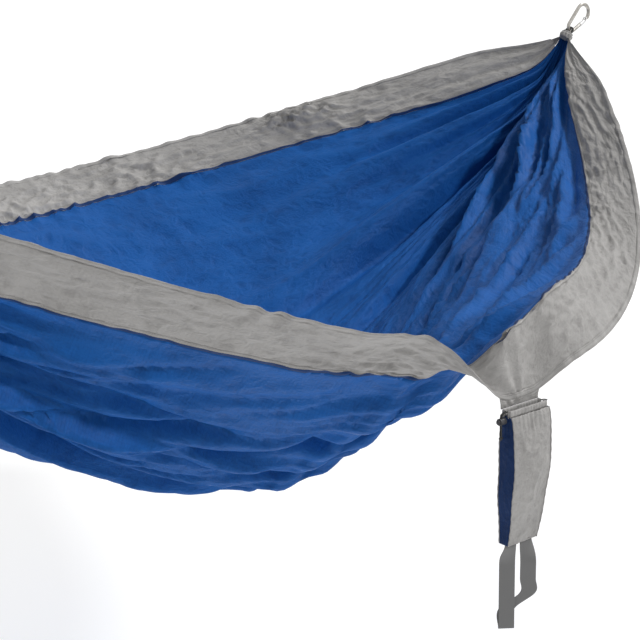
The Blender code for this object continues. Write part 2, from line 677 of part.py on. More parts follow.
def swept_profile(name, path, profile, base_z, material):
    """A (outwards, up) profile carried along an open (x, y) path, with closed ends."""
    origin = sack_origin()
    points = [Vector((x + origin[0], y + origin[1])) for x, y in path]
    bm = bmesh.new()
    rings = []
    for i, point in enumerate(points):
        before = (point - points[i - 1]).normalized() if i else (points[1] - point).normalized()
        after = (points[i + 1] - point).normalized() if i + 1 < len(points) else before
        ahead = (before + after).normalized()
        out = Vector((-ahead.y, ahead.x)) / max(0.5, ahead.dot(after))
        section = [(point.x + out.x * n, point.y + out.y * n, base_z + z) for n, z in profile]
        rings.append([bm.verts.new(corner) for corner in section])
    for first, second in zip(rings, rings[1:]):
        for k in range(len(profile)):
            m = (k + 1) % len(profile)
            bm.faces.new((first[k], first[m], second[m], second[k]))
    bm.faces.new(list(reversed(rings[0])))
    bm.faces.new(rings[-1])
    return add_object(name, mesh_from_bmesh(name, bm), material)


def build_channels():
    """Folded hem around the mouth, in two halves, open below where the drawstring lies in it."""
    half, wall = CHANNEL_DEPTH / 2, CHANNEL_WALL
    cloth = finish("sack_channel_cloth", GREY_CLOTH, 0.7)
    base_z = sack_origin()[2] - HINGE_GAP
    for front_side, name in ((True, "sack_mouth_channel_front"), (False, "sack_mouth_channel_back")):
        out = -1 if front_side else 1
        profile = [
            (half, -CHANNEL_HEIGHT),
            (half, 0),
            (-half, 0),
            (-half, -CHANNEL_HEIGHT + wall),
            (wall - half, -CHANNEL_HEIGHT + wall),
            (wall - half, -wall),
            (half - wall, -wall),
            (half - wall, -CHANNEL_HEIGHT),
        ]
        swept_profile(name, channel_path(front_side), [(out * n, z) for n, z in profile], base_z, cloth)


def smooth_route(points, spacing):
    """Points every spacing metres along a smooth curve through a list of points."""
    p = np.array([points[0], *points, points[-1]], float)
    fine = []
    for a, b, c, d in zip(p, p[1:], p[2:], p[3:]):
        for t in np.linspace(0, 1, 12, endpoint=False):
            bend, turn = 2 * a - 5 * b + 4 * c - d, 3 * b - a - 3 * c + d
            fine.append(0.5 * (2 * b + (c - a) * t + bend * t**2 + turn * t**3))
    fine = np.array([*fine, p[-1]])
    travel = np.concatenate([[0], np.cumsum(np.linalg.norm(np.diff(fine, axis=0), axis=1))])
    stops = np.linspace(0, travel[-1], max(2, round(travel[-1] / spacing)) + 1)
    return np.stack([np.interp(stops, travel, fine[:, k]) for k in range(3)], -1)


def tail_place():
    """x of the drawstring's tails and y of the middle of the mouth, from the sack's origin."""
    left, _, front, back = (float(c) for c in sack_corners(np.array(0.0)))
    return left - TAIL_STANDOFF, (front + back) / 2


def build_drawstring():
    """One cord: a tail, the front channel, a bight at the right split, the back channel, a tail."""
    origin = sack_origin()
    tail_x, middle = tail_place()
    right = float(sack_corners(np.array(0.0))[1])
    half = CHANNEL_DEPTH / 2
    lie = -HINGE_GAP - CHANNEL_WALL - SEWN_GAP - CORD_RADIUS
    strand = STRAND_PITCH / 2

    def one_side(sign):
        run = channel_path(sign < 0)
        y = middle + sign * strand
        leave = [
            (tail_x, y, -TAIL_LENGTH),
            (tail_x, y, -TAIL_LENGTH * 0.6),
            (tail_x, y, -0.0125),
            (tail_x + 0.0012, y, -0.0075),
            (tail_x + 0.0050, y, -0.0040),
            (-SACK_WIDTH / 2 - 0.0018, y, lie - 0.0002),
            (-SACK_WIDTH / 2 + half * 0.6, y + sign * 0.0006, lie),
            (-SACK_WIDTH / 2 + half, middle + sign * (CHANNEL_SPLIT / 2 + 0.0012), lie),
        ]
        inside = [(x, y_run, lie) for x, y_run in run[1:-1]]
        bight = [
            (right - half, middle + sign * (CHANNEL_SPLIT / 2 + 0.0012), lie),
            (right - half * 0.3, middle + sign * 0.0019, lie),
            (right + BIGHT_REACH * 0.45, middle + sign * 0.0022, lie - 0.0004),
            (right + BIGHT_REACH * 0.85, middle + sign * 0.0018, lie - 0.0014),
        ]
        return leave, inside, bight

    spacing = 1.6 * 2 * CORD_RADIUS
    leave_front, front, bight_front = one_side(-1)
    leave_back, back, bight_back = one_side(1)
    apex = [(right + BIGHT_REACH * 1.1, middle, lie - 0.002)]
    bight = [front[-1], *bight_front, *apex, *reversed(bight_back), back[-1]]
    first = smooth_route([*leave_front, front[0]], spacing)
    turn = smooth_route(bight, spacing)
    last = smooth_route([back[0], *reversed(leave_back)], spacing)
    route = np.array([*first[:-1], *front[:-1], *turn, *reversed(back[1:-1]), *last])
    curve = bpy.data.curves.new("sack_drawstring", "CURVE")
    curve.dimensions = "3D"
    curve.bevel_depth = CORD_RADIUS
    curve.bevel_resolution = 2
    curve.use_fill_caps = True
    spline = curve.splines.new("POLY")
    spline.points.add(len(route) - 1)
    for target, point in zip(spline.points, route + origin):
        target.co = (*point, 1.0)
    curve.materials.append(finish("drawstring_cord", ROPE_COLOUR, 0.8))
    bpy.context.collection.objects.link(bpy.data.objects.new("sack_drawstring", curve))


def lock_layout():
    """Stations of the cord lock along X, from the tails' place outwards and inwards."""
    slot = CORD_RADIUS + LOCK_CLEARANCE
    plunger_in = slot + LOCK_WALL
    floor = plunger_in + SEWN_GAP + SPRING_LENGTH + SEWN_GAP
    plunger_out = -(slot + LOCK_TRAVEL + LOCK_WALL + PLUNGER_HEAD)
    rim = plunger_out + PLUNGER_HEAD
    return slot, plunger_in, floor, plunger_out, rim


def build_cord_lock():
    """Barrel, sprung plunger and spring; both strands pass through the slots in barrel and plunger."""
    origin = sack_origin()
    tail_x, middle = tail_place()
    slot, plunger_in, floor, plunger_out, rim = lock_layout()
    frame = Matrix.Translation(Vector(origin) + Vector((tail_x, middle, -LOCK_DROP)))
    strands = STRAND_PITCH / 2 + CORD_RADIUS + LOCK_CLEARANCE
    plunger_radius = math.hypot(strands, 0.0032)
    bore = plunger_radius + LOCK_CLEARANCE
    plastic = finish("cord_lock_plastic", DARK_PLASTIC, 0.45)
    profile = (
        (rim, bore),
        (rim, LOCK_RADIUS - 0.0006),
        (rim + 0.0006, LOCK_RADIUS),
        (floor + LOCK_WALL - 0.0006, LOCK_RADIUS),
        (floor + LOCK_WALL, LOCK_RADIUS - 0.0006),
        (floor + LOCK_WALL, 0),
    )
    bm = turned(profile, 24, frame)
    rim_loop = [v for v in bm.verts if abs((frame.inverted() @ v.co).x - rim) < 1e-6]
    inner = [v for v in rim_loop if (frame.inverted() @ v.co).yz.length < bore + 1e-5]
    deep = {v: bm.verts.new(v.co + Vector((floor - rim, 0, 0))) for v in inner}
    for edge in [e for e in bm.edges if e.verts[0] in deep and e.verts[1] in deep]:
        a, b = edge.verts
        bm.faces.new((a, b, deep[b], deep[a]))
    ring = sorted(deep.values(), key=lambda v: math.atan2(*(frame.inverted() @ v.co).yz))
    bm.faces.new(ring)
    body = add_object("cord_lock_body", mesh_from_bmesh("cord_lock_body", bm), plastic)

    reach = 2 * LOCK_RADIUS
    through = Matrix.Diagonal((2 * slot, 2 * strands, reach, 1))
    cut(body, slot_cutter("cord_lock_body_slot", frame @ through, plastic))
    profile = (
        (plunger_out, 0),
        (plunger_out, plunger_radius - 0.0008),
        (plunger_out + 0.0008, plunger_radius),
        (plunger_in, plunger_radius),
        (plunger_in, 0),
    )
    bm = turned(profile, 24, frame)
    button = add_object("cord_lock_button", mesh_from_bmesh("cord_lock_button", bm), plastic)
    long_slot = Matrix.Translation((-LOCK_TRAVEL / 2, 0, 0)) @ Matrix.Diagonal(
        (2 * slot + LOCK_TRAVEL, 2 * strands, reach, 1)
    )
    cut(button, slot_cutter("cord_lock_button_slot", frame @ long_slot, plastic))

    coil_radius = bore - SEWN_GAP - SPRING_WIRE - 0.0006
    turns = np.linspace(0, SPRING_TURNS, SPRING_TURNS * 10 + 1)
    start = plunger_in + SEWN_GAP + SPRING_WIRE
    rise = SPRING_LENGTH - 2 * SPRING_WIRE
    points = []
    for t in turns:
        a = 2 * math.pi * t
        coil = (start + rise * t / SPRING_TURNS, coil_radius * math.cos(a), coil_radius * math.sin(a))
        points.append(frame @ Vector(coil))
    steel = finish("lock_spring_steel", STEEL_COLOUR, 0.3, 1.0)
    swept_bar("cord_lock_spring", points, [SPRING_WIRE] * len(points), WIRE_SIDES, steel)


def slot_cutter(name, matrix, material):
    bm = bmesh.new()
    bmesh.ops.create_cube(bm, size=1.0, matrix=matrix)
    return add_object(name, mesh_from_bmesh(name, bm), material)


def build_knot():
    """The overhand knot that ties both tails, as one rounded lump under them."""
    origin = sack_origin()
    tail_x, middle = tail_place()
    bm = bmesh.new()
    drop = TAIL_LENGTH + SEWN_GAP + KNOT_RADIUS
    place = Matrix.Translation(Vector(origin) + Vector((tail_x, middle, -drop)))
    bmesh.ops.create_uvsphere(bm, u_segments=16, v_segments=10, radius=KNOT_RADIUS, matrix=place)
    for vert in bm.verts:
        top = origin[2] - TAIL_LENGTH - SEWN_GAP
        vert.co.z = min(vert.co.z, top - 0.15 * KNOT_RADIUS)
    for vert in bm.verts:
        vert.co.z += 0.15 * KNOT_RADIUS
    knot = finish("drawstring_knot", ROPE_COLOUR, 0.8)
    add_object("drawstring_knot", mesh_from_bmesh("drawstring_knot", bm), knot)


def handle_route():
    """Strap's middle line as (sideways, back, up) steps from the base, and its twist there."""
    leg = LEG_PITCH / 2
    low = -HANDLE_DROP
    bend = FOLD_STANDOFF / 2
    points = [(-leg, 0, -HANDLE_GAP)]
    points += [(-leg, 0, low * t) for t in (0.09, 0.18, 0.27, 0.45, 0.63, 0.81)]
    for k in range(7):
        a = math.pi * k / 6
        points.append((-leg, bend - bend * math.cos(a), low + bend - bend * math.sin(a)))
    points += [(-leg, FOLD_STANDOFF, low + CROSS_LOW)]
    points += [(leg, FOLD_STANDOFF, low + CROSS_HIGH)]
    stand = [(0.45, 1.0), (0.27, 0.75), (0.18, 0.5), (0.09, 0.25)]
    points += [(leg, FOLD_STANDOFF * share, low * t) for t, share in stand]
    points += [(leg, 0, -HANDLE_GAP)]
    return points


def build_handle():
    """Flat webbing loop under the base, twisted by its own hang, folded at the bottom."""
    origin = sack_origin()
    left, right, front, back = (float(c) for c in sack_corners(np.array(1.0)))
    middle = np.array([(left + right) / 2, (front + back) / 2, -HINGE_GAP - SACK_HEIGHT]) + origin
    outer, inner = [], []
    route = handle_route()
    for i, (sideways, behind, up) in enumerate(route):
        twist = math.radians(HANDLE_TWIST_DEG) * float(smoothstep(np.array(-up / TWIST_LENGTH)))
        across = np.array([math.cos(twist), math.sin(twist), 0])
        depth = np.array([-math.sin(twist), math.cos(twist), 0])
        before, after = route[max(i - 1, 0)], route[min(i + 1, len(route) - 1)]
        along = (after[1] - before[1]) * depth + np.array([0, 0, after[2] - before[2]])
        flat = np.cross(across, along / np.linalg.norm(along))
        centre = middle + sideways * across + behind * depth + np.array([0, 0, up])
        edges = [centre + s * WEBBING_WIDTH / 2 * across for s in (-1, -0.5, 0, 0.5, 1)]
        outer.append([e + flat * WEBBING_THICKNESS / 2 for e in edges])
        inner.append([e - flat * WEBBING_THICKNESS / 2 for e in edges])
    name = "webbing_handle"
    webbing = finish("handle_webbing", GREY_WEBBING, 0.75)
    add_object(name, closed_walls(name, np.array(outer), np.array(inner)), webbing)


def main():
    clear_scene()
    build_bed()
    for side, label in ((1, "right"), (-1, "left")):
        build_end(side, label)
        build_carabiner(side, label)
    build_tab()
    build_sack_walls()
    build_sack_base()
    build_channels()
    build_drawstring()
    build_cord_lock()
    build_knot()
    build_handle()


main()
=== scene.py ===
"""Looks of a two-person camping hammock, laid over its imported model.

Metres, +Z up. The bed runs towards -X from the right carabiner, and the near edge, on -Y, carries the
stuff sack. The cloth is one surface P(u, v): u runs along the bed from -1 to 1 between the two
gathers, v across the cloth from the near edge, and each panel, seam and hem is a strip of it.
"""

import math

import bpy
import numpy as np
from mathutils import Matrix, Vector


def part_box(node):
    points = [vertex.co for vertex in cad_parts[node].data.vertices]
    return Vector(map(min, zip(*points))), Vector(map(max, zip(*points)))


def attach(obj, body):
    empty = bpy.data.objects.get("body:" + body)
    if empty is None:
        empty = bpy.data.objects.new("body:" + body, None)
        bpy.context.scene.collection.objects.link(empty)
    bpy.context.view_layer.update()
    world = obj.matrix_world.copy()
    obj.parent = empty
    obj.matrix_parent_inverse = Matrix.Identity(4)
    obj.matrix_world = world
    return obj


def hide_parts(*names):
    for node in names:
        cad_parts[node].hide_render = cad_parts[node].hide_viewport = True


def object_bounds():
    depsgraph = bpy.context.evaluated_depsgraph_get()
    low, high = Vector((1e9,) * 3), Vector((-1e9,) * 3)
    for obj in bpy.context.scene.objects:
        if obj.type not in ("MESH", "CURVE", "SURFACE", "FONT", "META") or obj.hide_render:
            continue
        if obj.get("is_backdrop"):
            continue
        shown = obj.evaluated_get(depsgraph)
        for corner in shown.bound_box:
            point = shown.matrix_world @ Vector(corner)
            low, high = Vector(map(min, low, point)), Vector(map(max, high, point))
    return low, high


bl_info = {
    "name": "Camping hammock",
    "version": (1, 0, 0),
    "blender": (4, 5, 0),
    "location": "View3D > Sidebar > Hammock",
    "description": "Builds the cloth, sack, cords and finishes of a camping hammock",
    "category": "Add Mesh",
}

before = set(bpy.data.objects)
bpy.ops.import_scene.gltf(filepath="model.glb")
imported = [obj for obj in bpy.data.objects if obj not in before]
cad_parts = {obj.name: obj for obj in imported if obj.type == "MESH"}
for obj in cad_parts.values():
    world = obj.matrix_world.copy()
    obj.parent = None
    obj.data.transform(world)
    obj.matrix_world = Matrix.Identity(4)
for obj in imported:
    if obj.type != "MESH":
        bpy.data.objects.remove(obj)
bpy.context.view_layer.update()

# The bed as it hangs.
THROAT_SPAN = 1.945  # between the two gathers
CLOTH_WIDTH = 1.84
SIDE_PANEL_WIDTH = 0.13
CENTRE_WIDTH = CLOTH_WIDTH - 2 * SIDE_PANEL_WIDTH
HEM_WIDTH = 0.012
SEAM_WIDTH = 0.011
NEAR_SPREAD, NEAR_DROP, NEAR_CURVE, NEAR_SKEW = 0.888, 0.358, 1.53, 0.20
FAR_SPREAD, FAR_DROP, FAR_CURVE, FAR_SKEW = 0.765, 0.331, 2.05, -0.22
APEX_OVERHANG, APEX_RISE, APEX_ROLL_START = 0.018, 0.034, 0.84
NEAR_LEAN_DEG, NEAR_LEAN_TWIST_DEG, NEAR_END_LEAN_DEG = 34.0, -36.0, 35.0
FAR_LEAN_DEG, FAR_LEAN_TWIST_DEG, FAR_END_LEAN_DEG = 22.0, -8.0, 40.0
NEAR_BELLY_REACH, FAR_BELLY_REACH = 0.85, 1.0
PANEL_TAPER = 10
SACK_STATION, SACK_PULL_DEPTH, SACK_PULL_REACH = -0.07, 0.070, 0.080
SACK_TIP_DEG, SACK_TIP_FADE, SACK_TIP_REACH = 120.0, 0.75, 0.09
NECK_STATION, NECK_REACH, NECK_SHARE = -0.14, 0.034, 0.45
TAUT_RISE, TAUT_RISE_AT, TAUT_RISE_REACH = 0.030, -0.20, 0.06
FOLD_COUNT, FOLD_SHARE, FOLD_DEPTH_MIDDLE, THROAT_CALM = 6.5, 0.15, 0.003, 0.30
PULL = math.radians(47.0)
THROAT_RADIUS, THROAT_ARC_DEG = 0.011, 210.0
BUNDLE_LENGTH, BUNDLE_RADIUS, BUNDLE_ROOT_RADIUS = 0.0127, 0.0140, 0.0112
BUNCH_TUCK, BUNCH_EXTRA, PINCH_AT, PINCH_DEPTH, PINCH_REACH = 0.004, 0.0045, 0.72, 0.12, 0.09
ROPE_RADIUS, ROPE_LOOP_RADIUS, LOOP_STANDOFF = 0.0025, 0.0095, 0.0130
SEWN_GAP, HINGE_GAP, HANDLE_GAP = 0.0003, 0.0006, 0.0009
THROAT_REACH = SEWN_GAP + BUNDLE_LENGTH + LOOP_STANDOFF
RIGHT_THROAT = -THROAT_REACH * np.array([math.cos(PULL), 0.0, math.sin(PULL)])
MIDDLE_X = RIGHT_THROAT[0] - THROAT_SPAN / 2
APEX_HALF_SPAN = THROAT_SPAN / 2 + APEX_OVERHANG
APEX_Z = RIGHT_THROAT[2] + APEX_RISE

# The stuff sack, its mouth, cord and handle.
SACK_WIDTH, SACK_TAPER, SACK_HEIGHT = 0.092, 0.022, 0.246
SACK_MOUTH_DEPTH, SACK_FULL_DEPTH = 0.022, 0.038
PANEL_BOW, GUSSET_BOW = 0.004, 0.002
PANEL_DENT, GUSSET_DENT, MOUTH_GATHER = 0.0016, 0.0010, 0.0012
TAB_THICKNESS, TAB_LAP = 0.0010, 0.0014
CHANNEL_HEIGHT, CHANNEL_DEPTH, CHANNEL_WALL = 0.014, 0.0052, 0.0008
CHANNEL_CORNER, CHANNEL_SPLIT = 0.0048, 0.0065
CHANNEL_STEP, CHANNEL_PUCKER, CHANNEL_PUCKER_PITCH = 0.0009, 0.16, 0.0075
CORNER_SEAM_RADIUS, CORNER_SEAM_WOBBLE, BASE_SAG, TAB_PUCKER = 0.0012, 0.0004, 0.0010, 0.0011
CORD_RADIUS, STRAND_PITCH, TAIL_LENGTH, TAIL_STANDOFF = 0.0012, 0.0028, 0.044, 0.0117
BIGHT_REACH, KNOT_SIZE = 0.009, 0.00098
WEBBING_WIDTH, WEBBING_THICKNESS, LEG_PITCH = 0.028, 0.0018, 0.0375
HANDLE_DROP, HANDLE_TWIST_DEG, TWIST_LENGTH = 0.166, -38.0, 0.045
FOLD_STANDOFF, CROSS_LOW, CROSS_HIGH = 0.0036, 0.035, 0.065
STRAP_STEP, STRAP_ROUNDING = 0.0022, 0.0005

# What the sewn parts are drawn with, and how far a panel laps under its neighbour.
WALL_THICKNESS, SEAM_THICKNESS, HEM_HALF_HEIGHT, PANEL_LAP = 0.0008, 0.0020, 0.0013, 0.001

# Relief: the swollen roll of slack on the far panel, puckers, creases and rows of pleats as (count, reach).
ROLL_STATION, ROLL_HEIGHT = 0.56, 0.024
ROLL_INSET, ROLL_LENGTH, ROLL_WIDTH = 0.055, 0.06, 0.036
SEAM_PUCKER_REACH, HEM_PUCKER_REACH = 0.022, 0.026
SIDE_CRUMPLES = 2.1, 1.5  # far and near, times the crumples of the centre
SACK_CREASE_HEIGHT, SACK_CREASE_REACH = 0.0032, 0.17
RIPPLE_WAVES = 14
PLEAT_ROWS = ((13, 0.80), (19, 0.60), (29, 0.42), (43, 0.28))

# Threads of the nylon, stitches as a share of their pitch, and where their rows run across each piece.
THREAD_PITCH, THREAD_WIDTH = 0.005, 0.0006
STITCH_SHARE, STITCH_HALF_WIDTH = 0.72, 0.00035
SEAM_ROWS, HEM_STITCH_ROWS, CHANNEL_ROWS = (0.0005, 0.0040), (0.0024, 0.0092), (-0.0118, -0.0105)

# Points of the meshes, along by across.
CENTRE_GRID, SIDE_GRID, SEAM_GRID = (258, 190), (520, 30), (560, 7)
HEM_ROWS, SEWING_STOP, WALL_ROWS = 620, 0.985, 110

# Where the photographer stood, in the part's frame.
VIEW_TARGET = (-0.98099, -0.25847, -0.41195)
VIEW_AZIMUTH_DEG, VIEW_ELEVATION_DEG, VIEW_ROLL_DEG = -41.628, 16.944, -0.618
VIEW_DISTANCE = 4.5
VIEW_LENS_MM, VIEW_SENSOR_MM = 132.02, 36.0

# Lamps as (name, strength, spread in degrees, direction of the light), then the world and the floor.
LAMPS = (
    ("key_light", 1.45, 10, (-0.62, 0.10, -0.85)),
    ("front_light", 1.20, 6, (-0.16, 0.80, -0.66)),
    ("floor_glow", 0.95, 14, (0.10, 0.06, 1.0)),
)
WORLD_STRENGTH = 0.28
FLOOR_DEPTH, FLOOR_SIZE, FLOOR_LIFT = 0.55, 14.0, 0.38


# ---------------------------------------------------------------- shapes of the bed


def smoothstep(x):
    """0 below 0, 1 above 1, and 3x^2 - 2x^3 between."""
    x = np.clip(x, 0.0, 1.0)
    return x * x * (3 - 2 * x)


def bell(x):
    """1 at 0 and falling away on both sides: exp(-x^2)."""
    return np.exp(-(x**2))


def unit(vectors):
    return vectors / np.linalg.norm(vectors, axis=-1, keepdims=True)


def turns(count):
    """Angles evenly around a circle."""
    return np.linspace(0, 2 * math.pi, count, endpoint=False)


def blunt(x, power):
    """x with its size raised to a power and its sign kept: squares off a circle's sine and cosine."""
    return np.sign(x) * np.abs(x) ** power


def round_profile(radius, sides):
    return radius * np.stack([np.cos(turns(sides)), np.sin(turns(sides))], -1)


def travelled(path):
    """Distance along a path at each of its points."""
    return np.concatenate([[0], np.cumsum(np.linalg.norm(np.diff(path, axis=0), axis=1))])


def directions(angle):
    """Unit vectors in the YZ plane, angle under the horizontal, towards +Y."""
    return np.stack([0 * angle, np.cos(angle), -np.sin(angle)], -1)


def near_edge(u):
    """Near free edge: spread and drop times 1 - |u|^power, drawn down level where the sack hangs."""
    curve = (1 - np.abs(u) ** NEAR_CURVE) * (1 + NEAR_SKEW * u)
    y = -NEAR_SPREAD * curve
    z = -NEAR_DROP * curve + TAUT_RISE * bell((u - TAUT_RISE_AT) / TAUT_RISE_REACH)
    at_sack = (1 - abs(SACK_STATION) ** NEAR_CURVE) * (1 + NEAR_SKEW * SACK_STATION)
    share = 1 / (1 + (np.abs(u - SACK_STATION) / SACK_PULL_REACH) ** 4)
    y = y + share * (-NEAR_SPREAD * at_sack - y)
    z = z + share * (-NEAR_DROP * at_sack - SACK_PULL_DEPTH - z)
    return np.stack([MIDDLE_X + APEX_HALF_SPAN * u, y, APEX_Z + z], -1)


def far_edge(u):
    """Far free edge: the same power curve, mirrored and with its own spread and drop."""
    curve = (1 - np.abs(u) ** FAR_CURVE) * (1 + FAR_SKEW * u)
    x = MIDDLE_X + APEX_HALF_SPAN * u
    return np.stack([x, FAR_SPREAD * curve, APEX_Z - FAR_DROP * curve], -1)


def bed_surface(u, v):
    """P(u, v): straight side panels lean in from both edges, a cubic Bezier belly joins their seams,
    and near |u| = 1 the whole section is drawn in to an arc around the gather."""
    near, far = near_edge(u), far_edge(u)
    taper = 1 - np.abs(u) ** PANEL_TAPER
    near_lean = NEAR_LEAN_DEG + NEAR_LEAN_TWIST_DEG * u + NEAR_END_LEAN_DEG * np.clip(u, 0, 1) ** 6
    near_lean = np.radians(near_lean)
    far_lean = np.radians(FAR_LEAN_DEG + FAR_LEAN_TWIST_DEG * u + FAR_END_LEAN_DEG * np.abs(u) ** 6)
    past_sack = np.clip((u - SACK_STATION) / SACK_TIP_FADE, 0, 1)
    tipped = smoothstep((u - NECK_STATION) / SACK_TIP_REACH + 0.5) * (1 - past_sack) ** 1.4
    panel_dir = directions(near_lean - math.radians(SACK_TIP_DEG) * tipped)
    far_dir = directions(far_lean) * np.array([1, -1, 1])
    width = (SIDE_PANEL_WIDTH * taper)[..., None]
    neck = 1 - (1 - NECK_SHARE) * bell((u - NECK_STATION) / NECK_REACH)
    near_seam, far_seam = near + width * neck[..., None] * panel_dir, far + width * far_dir

    fullness = (1 - np.abs(u) ** ((NEAR_CURVE + FAR_CURVE) / 2))[..., None]
    near_hold = near_seam + NEAR_BELLY_REACH * fullness * directions(near_lean)
    far_hold = far_seam + FAR_BELLY_REACH * fullness * far_dir
    s = np.clip((v - SIDE_PANEL_WIDTH) / CENTRE_WIDTH, 0, 1)[..., None]
    belly = (
        (1 - s) ** 3 * near_seam
        + 3 * (1 - s) ** 2 * s * near_hold
        + 3 * (1 - s) * s**2 * far_hold
        + s**3 * far_seam
    )
    v_near = np.clip(v / SIDE_PANEL_WIDTH, 0, 1)[..., None]
    v_far = np.clip((CLOTH_WIDTH - v) / SIDE_PANEL_WIDTH, 0, 1)[..., None]
    point = np.where(v[..., None] < SIDE_PANEL_WIDTH, near + (near_seam - near) * v_near, belly)
    on_far = v[..., None] > CLOTH_WIDTH - SIDE_PANEL_WIDTH
    point = np.where(on_far, far + (far_seam - far) * v_far, point)

    side = np.sign(u)
    turn = math.radians(THROAT_ARC_DEG) * (v / CLOTH_WIDTH - 0.5)
    out = THROAT_RADIUS * np.cos(turn)
    ring = [side * out * math.sin(PULL), THROAT_RADIUS * np.sin(turn), -out * math.cos(PULL)]
    drawn = np.stack([-side * APEX_OVERHANG, 0 * u, 0 * u - APEX_RISE], -1)
    share = smoothstep((np.abs(u) - APEX_ROLL_START) / (1 - APEX_ROLL_START))[..., None]
    return point + share * (np.stack(ring, -1) + drawn)


def surface_normal(u, v):
    """Unit normal: the cross product of central differences along and across."""
    step = 1e-4
    along = bed_surface(np.minimum(u + step, 1), v) - bed_surface(np.maximum(u - step, -1), v)
    across = bed_surface(u, v + step) - bed_surface(u, v - step)
    return unit(np.cross(along, across))


def ripples(x, y, wavelength, seed, stretch=1.0):
    """Random ripples of about one wavelength: a sum of cosines in seeded directions, of unit spread.
    stretch lengthens them along x."""
    rng = np.random.default_rng(seed)
    angle = rng.uniform(0, 2 * math.pi, RIPPLE_WAVES)
    pitch = 2 * math.pi / wavelength * rng.uniform(0.6, 1.5, RIPPLE_WAVES)
    phase = rng.uniform(0, 2 * math.pi, RIPPLE_WAVES)
    total = 0 * x
    for a, k, p in zip(angle, pitch, phase):
        total = total + np.cos(k * (math.cos(a) * x / stretch + math.sin(a) * y) + p)
    return total * math.sqrt(2 / RIPPLE_WAVES)


def creases(x, y, wavelength, seed, stretch=1.0):
    """Sharp folds with flat ground between: 1 - 2|r| of ripples r, so that each zero line is a ridge."""
    r = ripples(x, y, wavelength, seed, stretch)
    return 1 - 2 * np.abs(np.tanh(0.9 * r))


def drawn_width(u, v):
    """|dP/dv|: how wide a metre of cloth is drawn there, under 1 where the cloth is gathered."""
    step = 1e-3
    return np.linalg.norm(bed_surface(u, v + step) - bed_surface(u, v - step), axis=-1) / (2 * step)


def main_folds(u, v, drawn):
    """Main folds of the centre panel: waves across the cloth. Where the surface is narrower than the
    cloth, they take up the rest: their height is a share of their width, times sqrt(cloth / drawn - 1)."""
    s, a = np.clip((v - SIDE_PANEL_WIDTH) / CENTRE_WIDTH, 0, 1), np.abs(u)
    taken_up = np.sqrt(np.clip(1 / drawn - 1, 0, 3))
    depth = FOLD_SHARE * CENTRE_WIDTH / FOLD_COUNT * drawn * taken_up
    ends = smoothstep((a - 0.1) / 0.45)
    depth = FOLD_DEPTH_MIDDLE * (1 - ends) + depth * ends
    calm = smoothstep(s / 0.12) * smoothstep((1 - s) / 0.12) * smoothstep((1 - a) / THROAT_CALM)
    return depth * calm * np.cos(2 * math.pi * FOLD_COUNT * s)


def pleats(u, v, drawn, strength):
    """Finer pleats on the main folds, which fan out of each gather: |sine| across the cloth, so round
    ridges with sharp creases between, as high as their share of the cloth that the gather takes up, and
    gone sooner the finer they are."""
    s, a = v / CLOTH_WIDTH, np.abs(u)
    taken_up = np.sqrt(np.clip(1 / drawn - 1, 0.05, 3))
    side = np.minimum(v, CLOTH_WIDTH - v)
    taut = smoothstep((side - 0.5 * SIDE_PANEL_WIDTH) / 0.17)
    total = 0 * u
    for end in (-1, 1):
        rng = np.random.default_rng(40 + end)
        here = smoothstep(0.5 + 4 * end * u)
        warped = s + 0.012 * np.sin(2 * math.pi * 3 * s + 1.0 + end) + 0.006 * np.sin(9 * s + 5 * u)
        for count, reach in PLEAT_ROWS:
            phase, beat, beat_phase = rng.uniform(0, 2 * math.pi, 3)
            uneven = 0.7 + 0.3 * np.sin(2 * math.pi * (1.5 + beat / 3) * s + beat_phase)
            fade = bell((1 - a) / reach)
            wave = 2.6 * (np.abs(np.sin(math.pi * count * warped + phase)) - 2 / math.pi)
            total = total + here * uneven * fade * wave * drawn * CLOTH_WIDTH / count
    return strength * taken_up * total * (0.15 + 0.85 * taut) * (0.4 + 0.6 * smoothstep((1 - a) / 0.08))


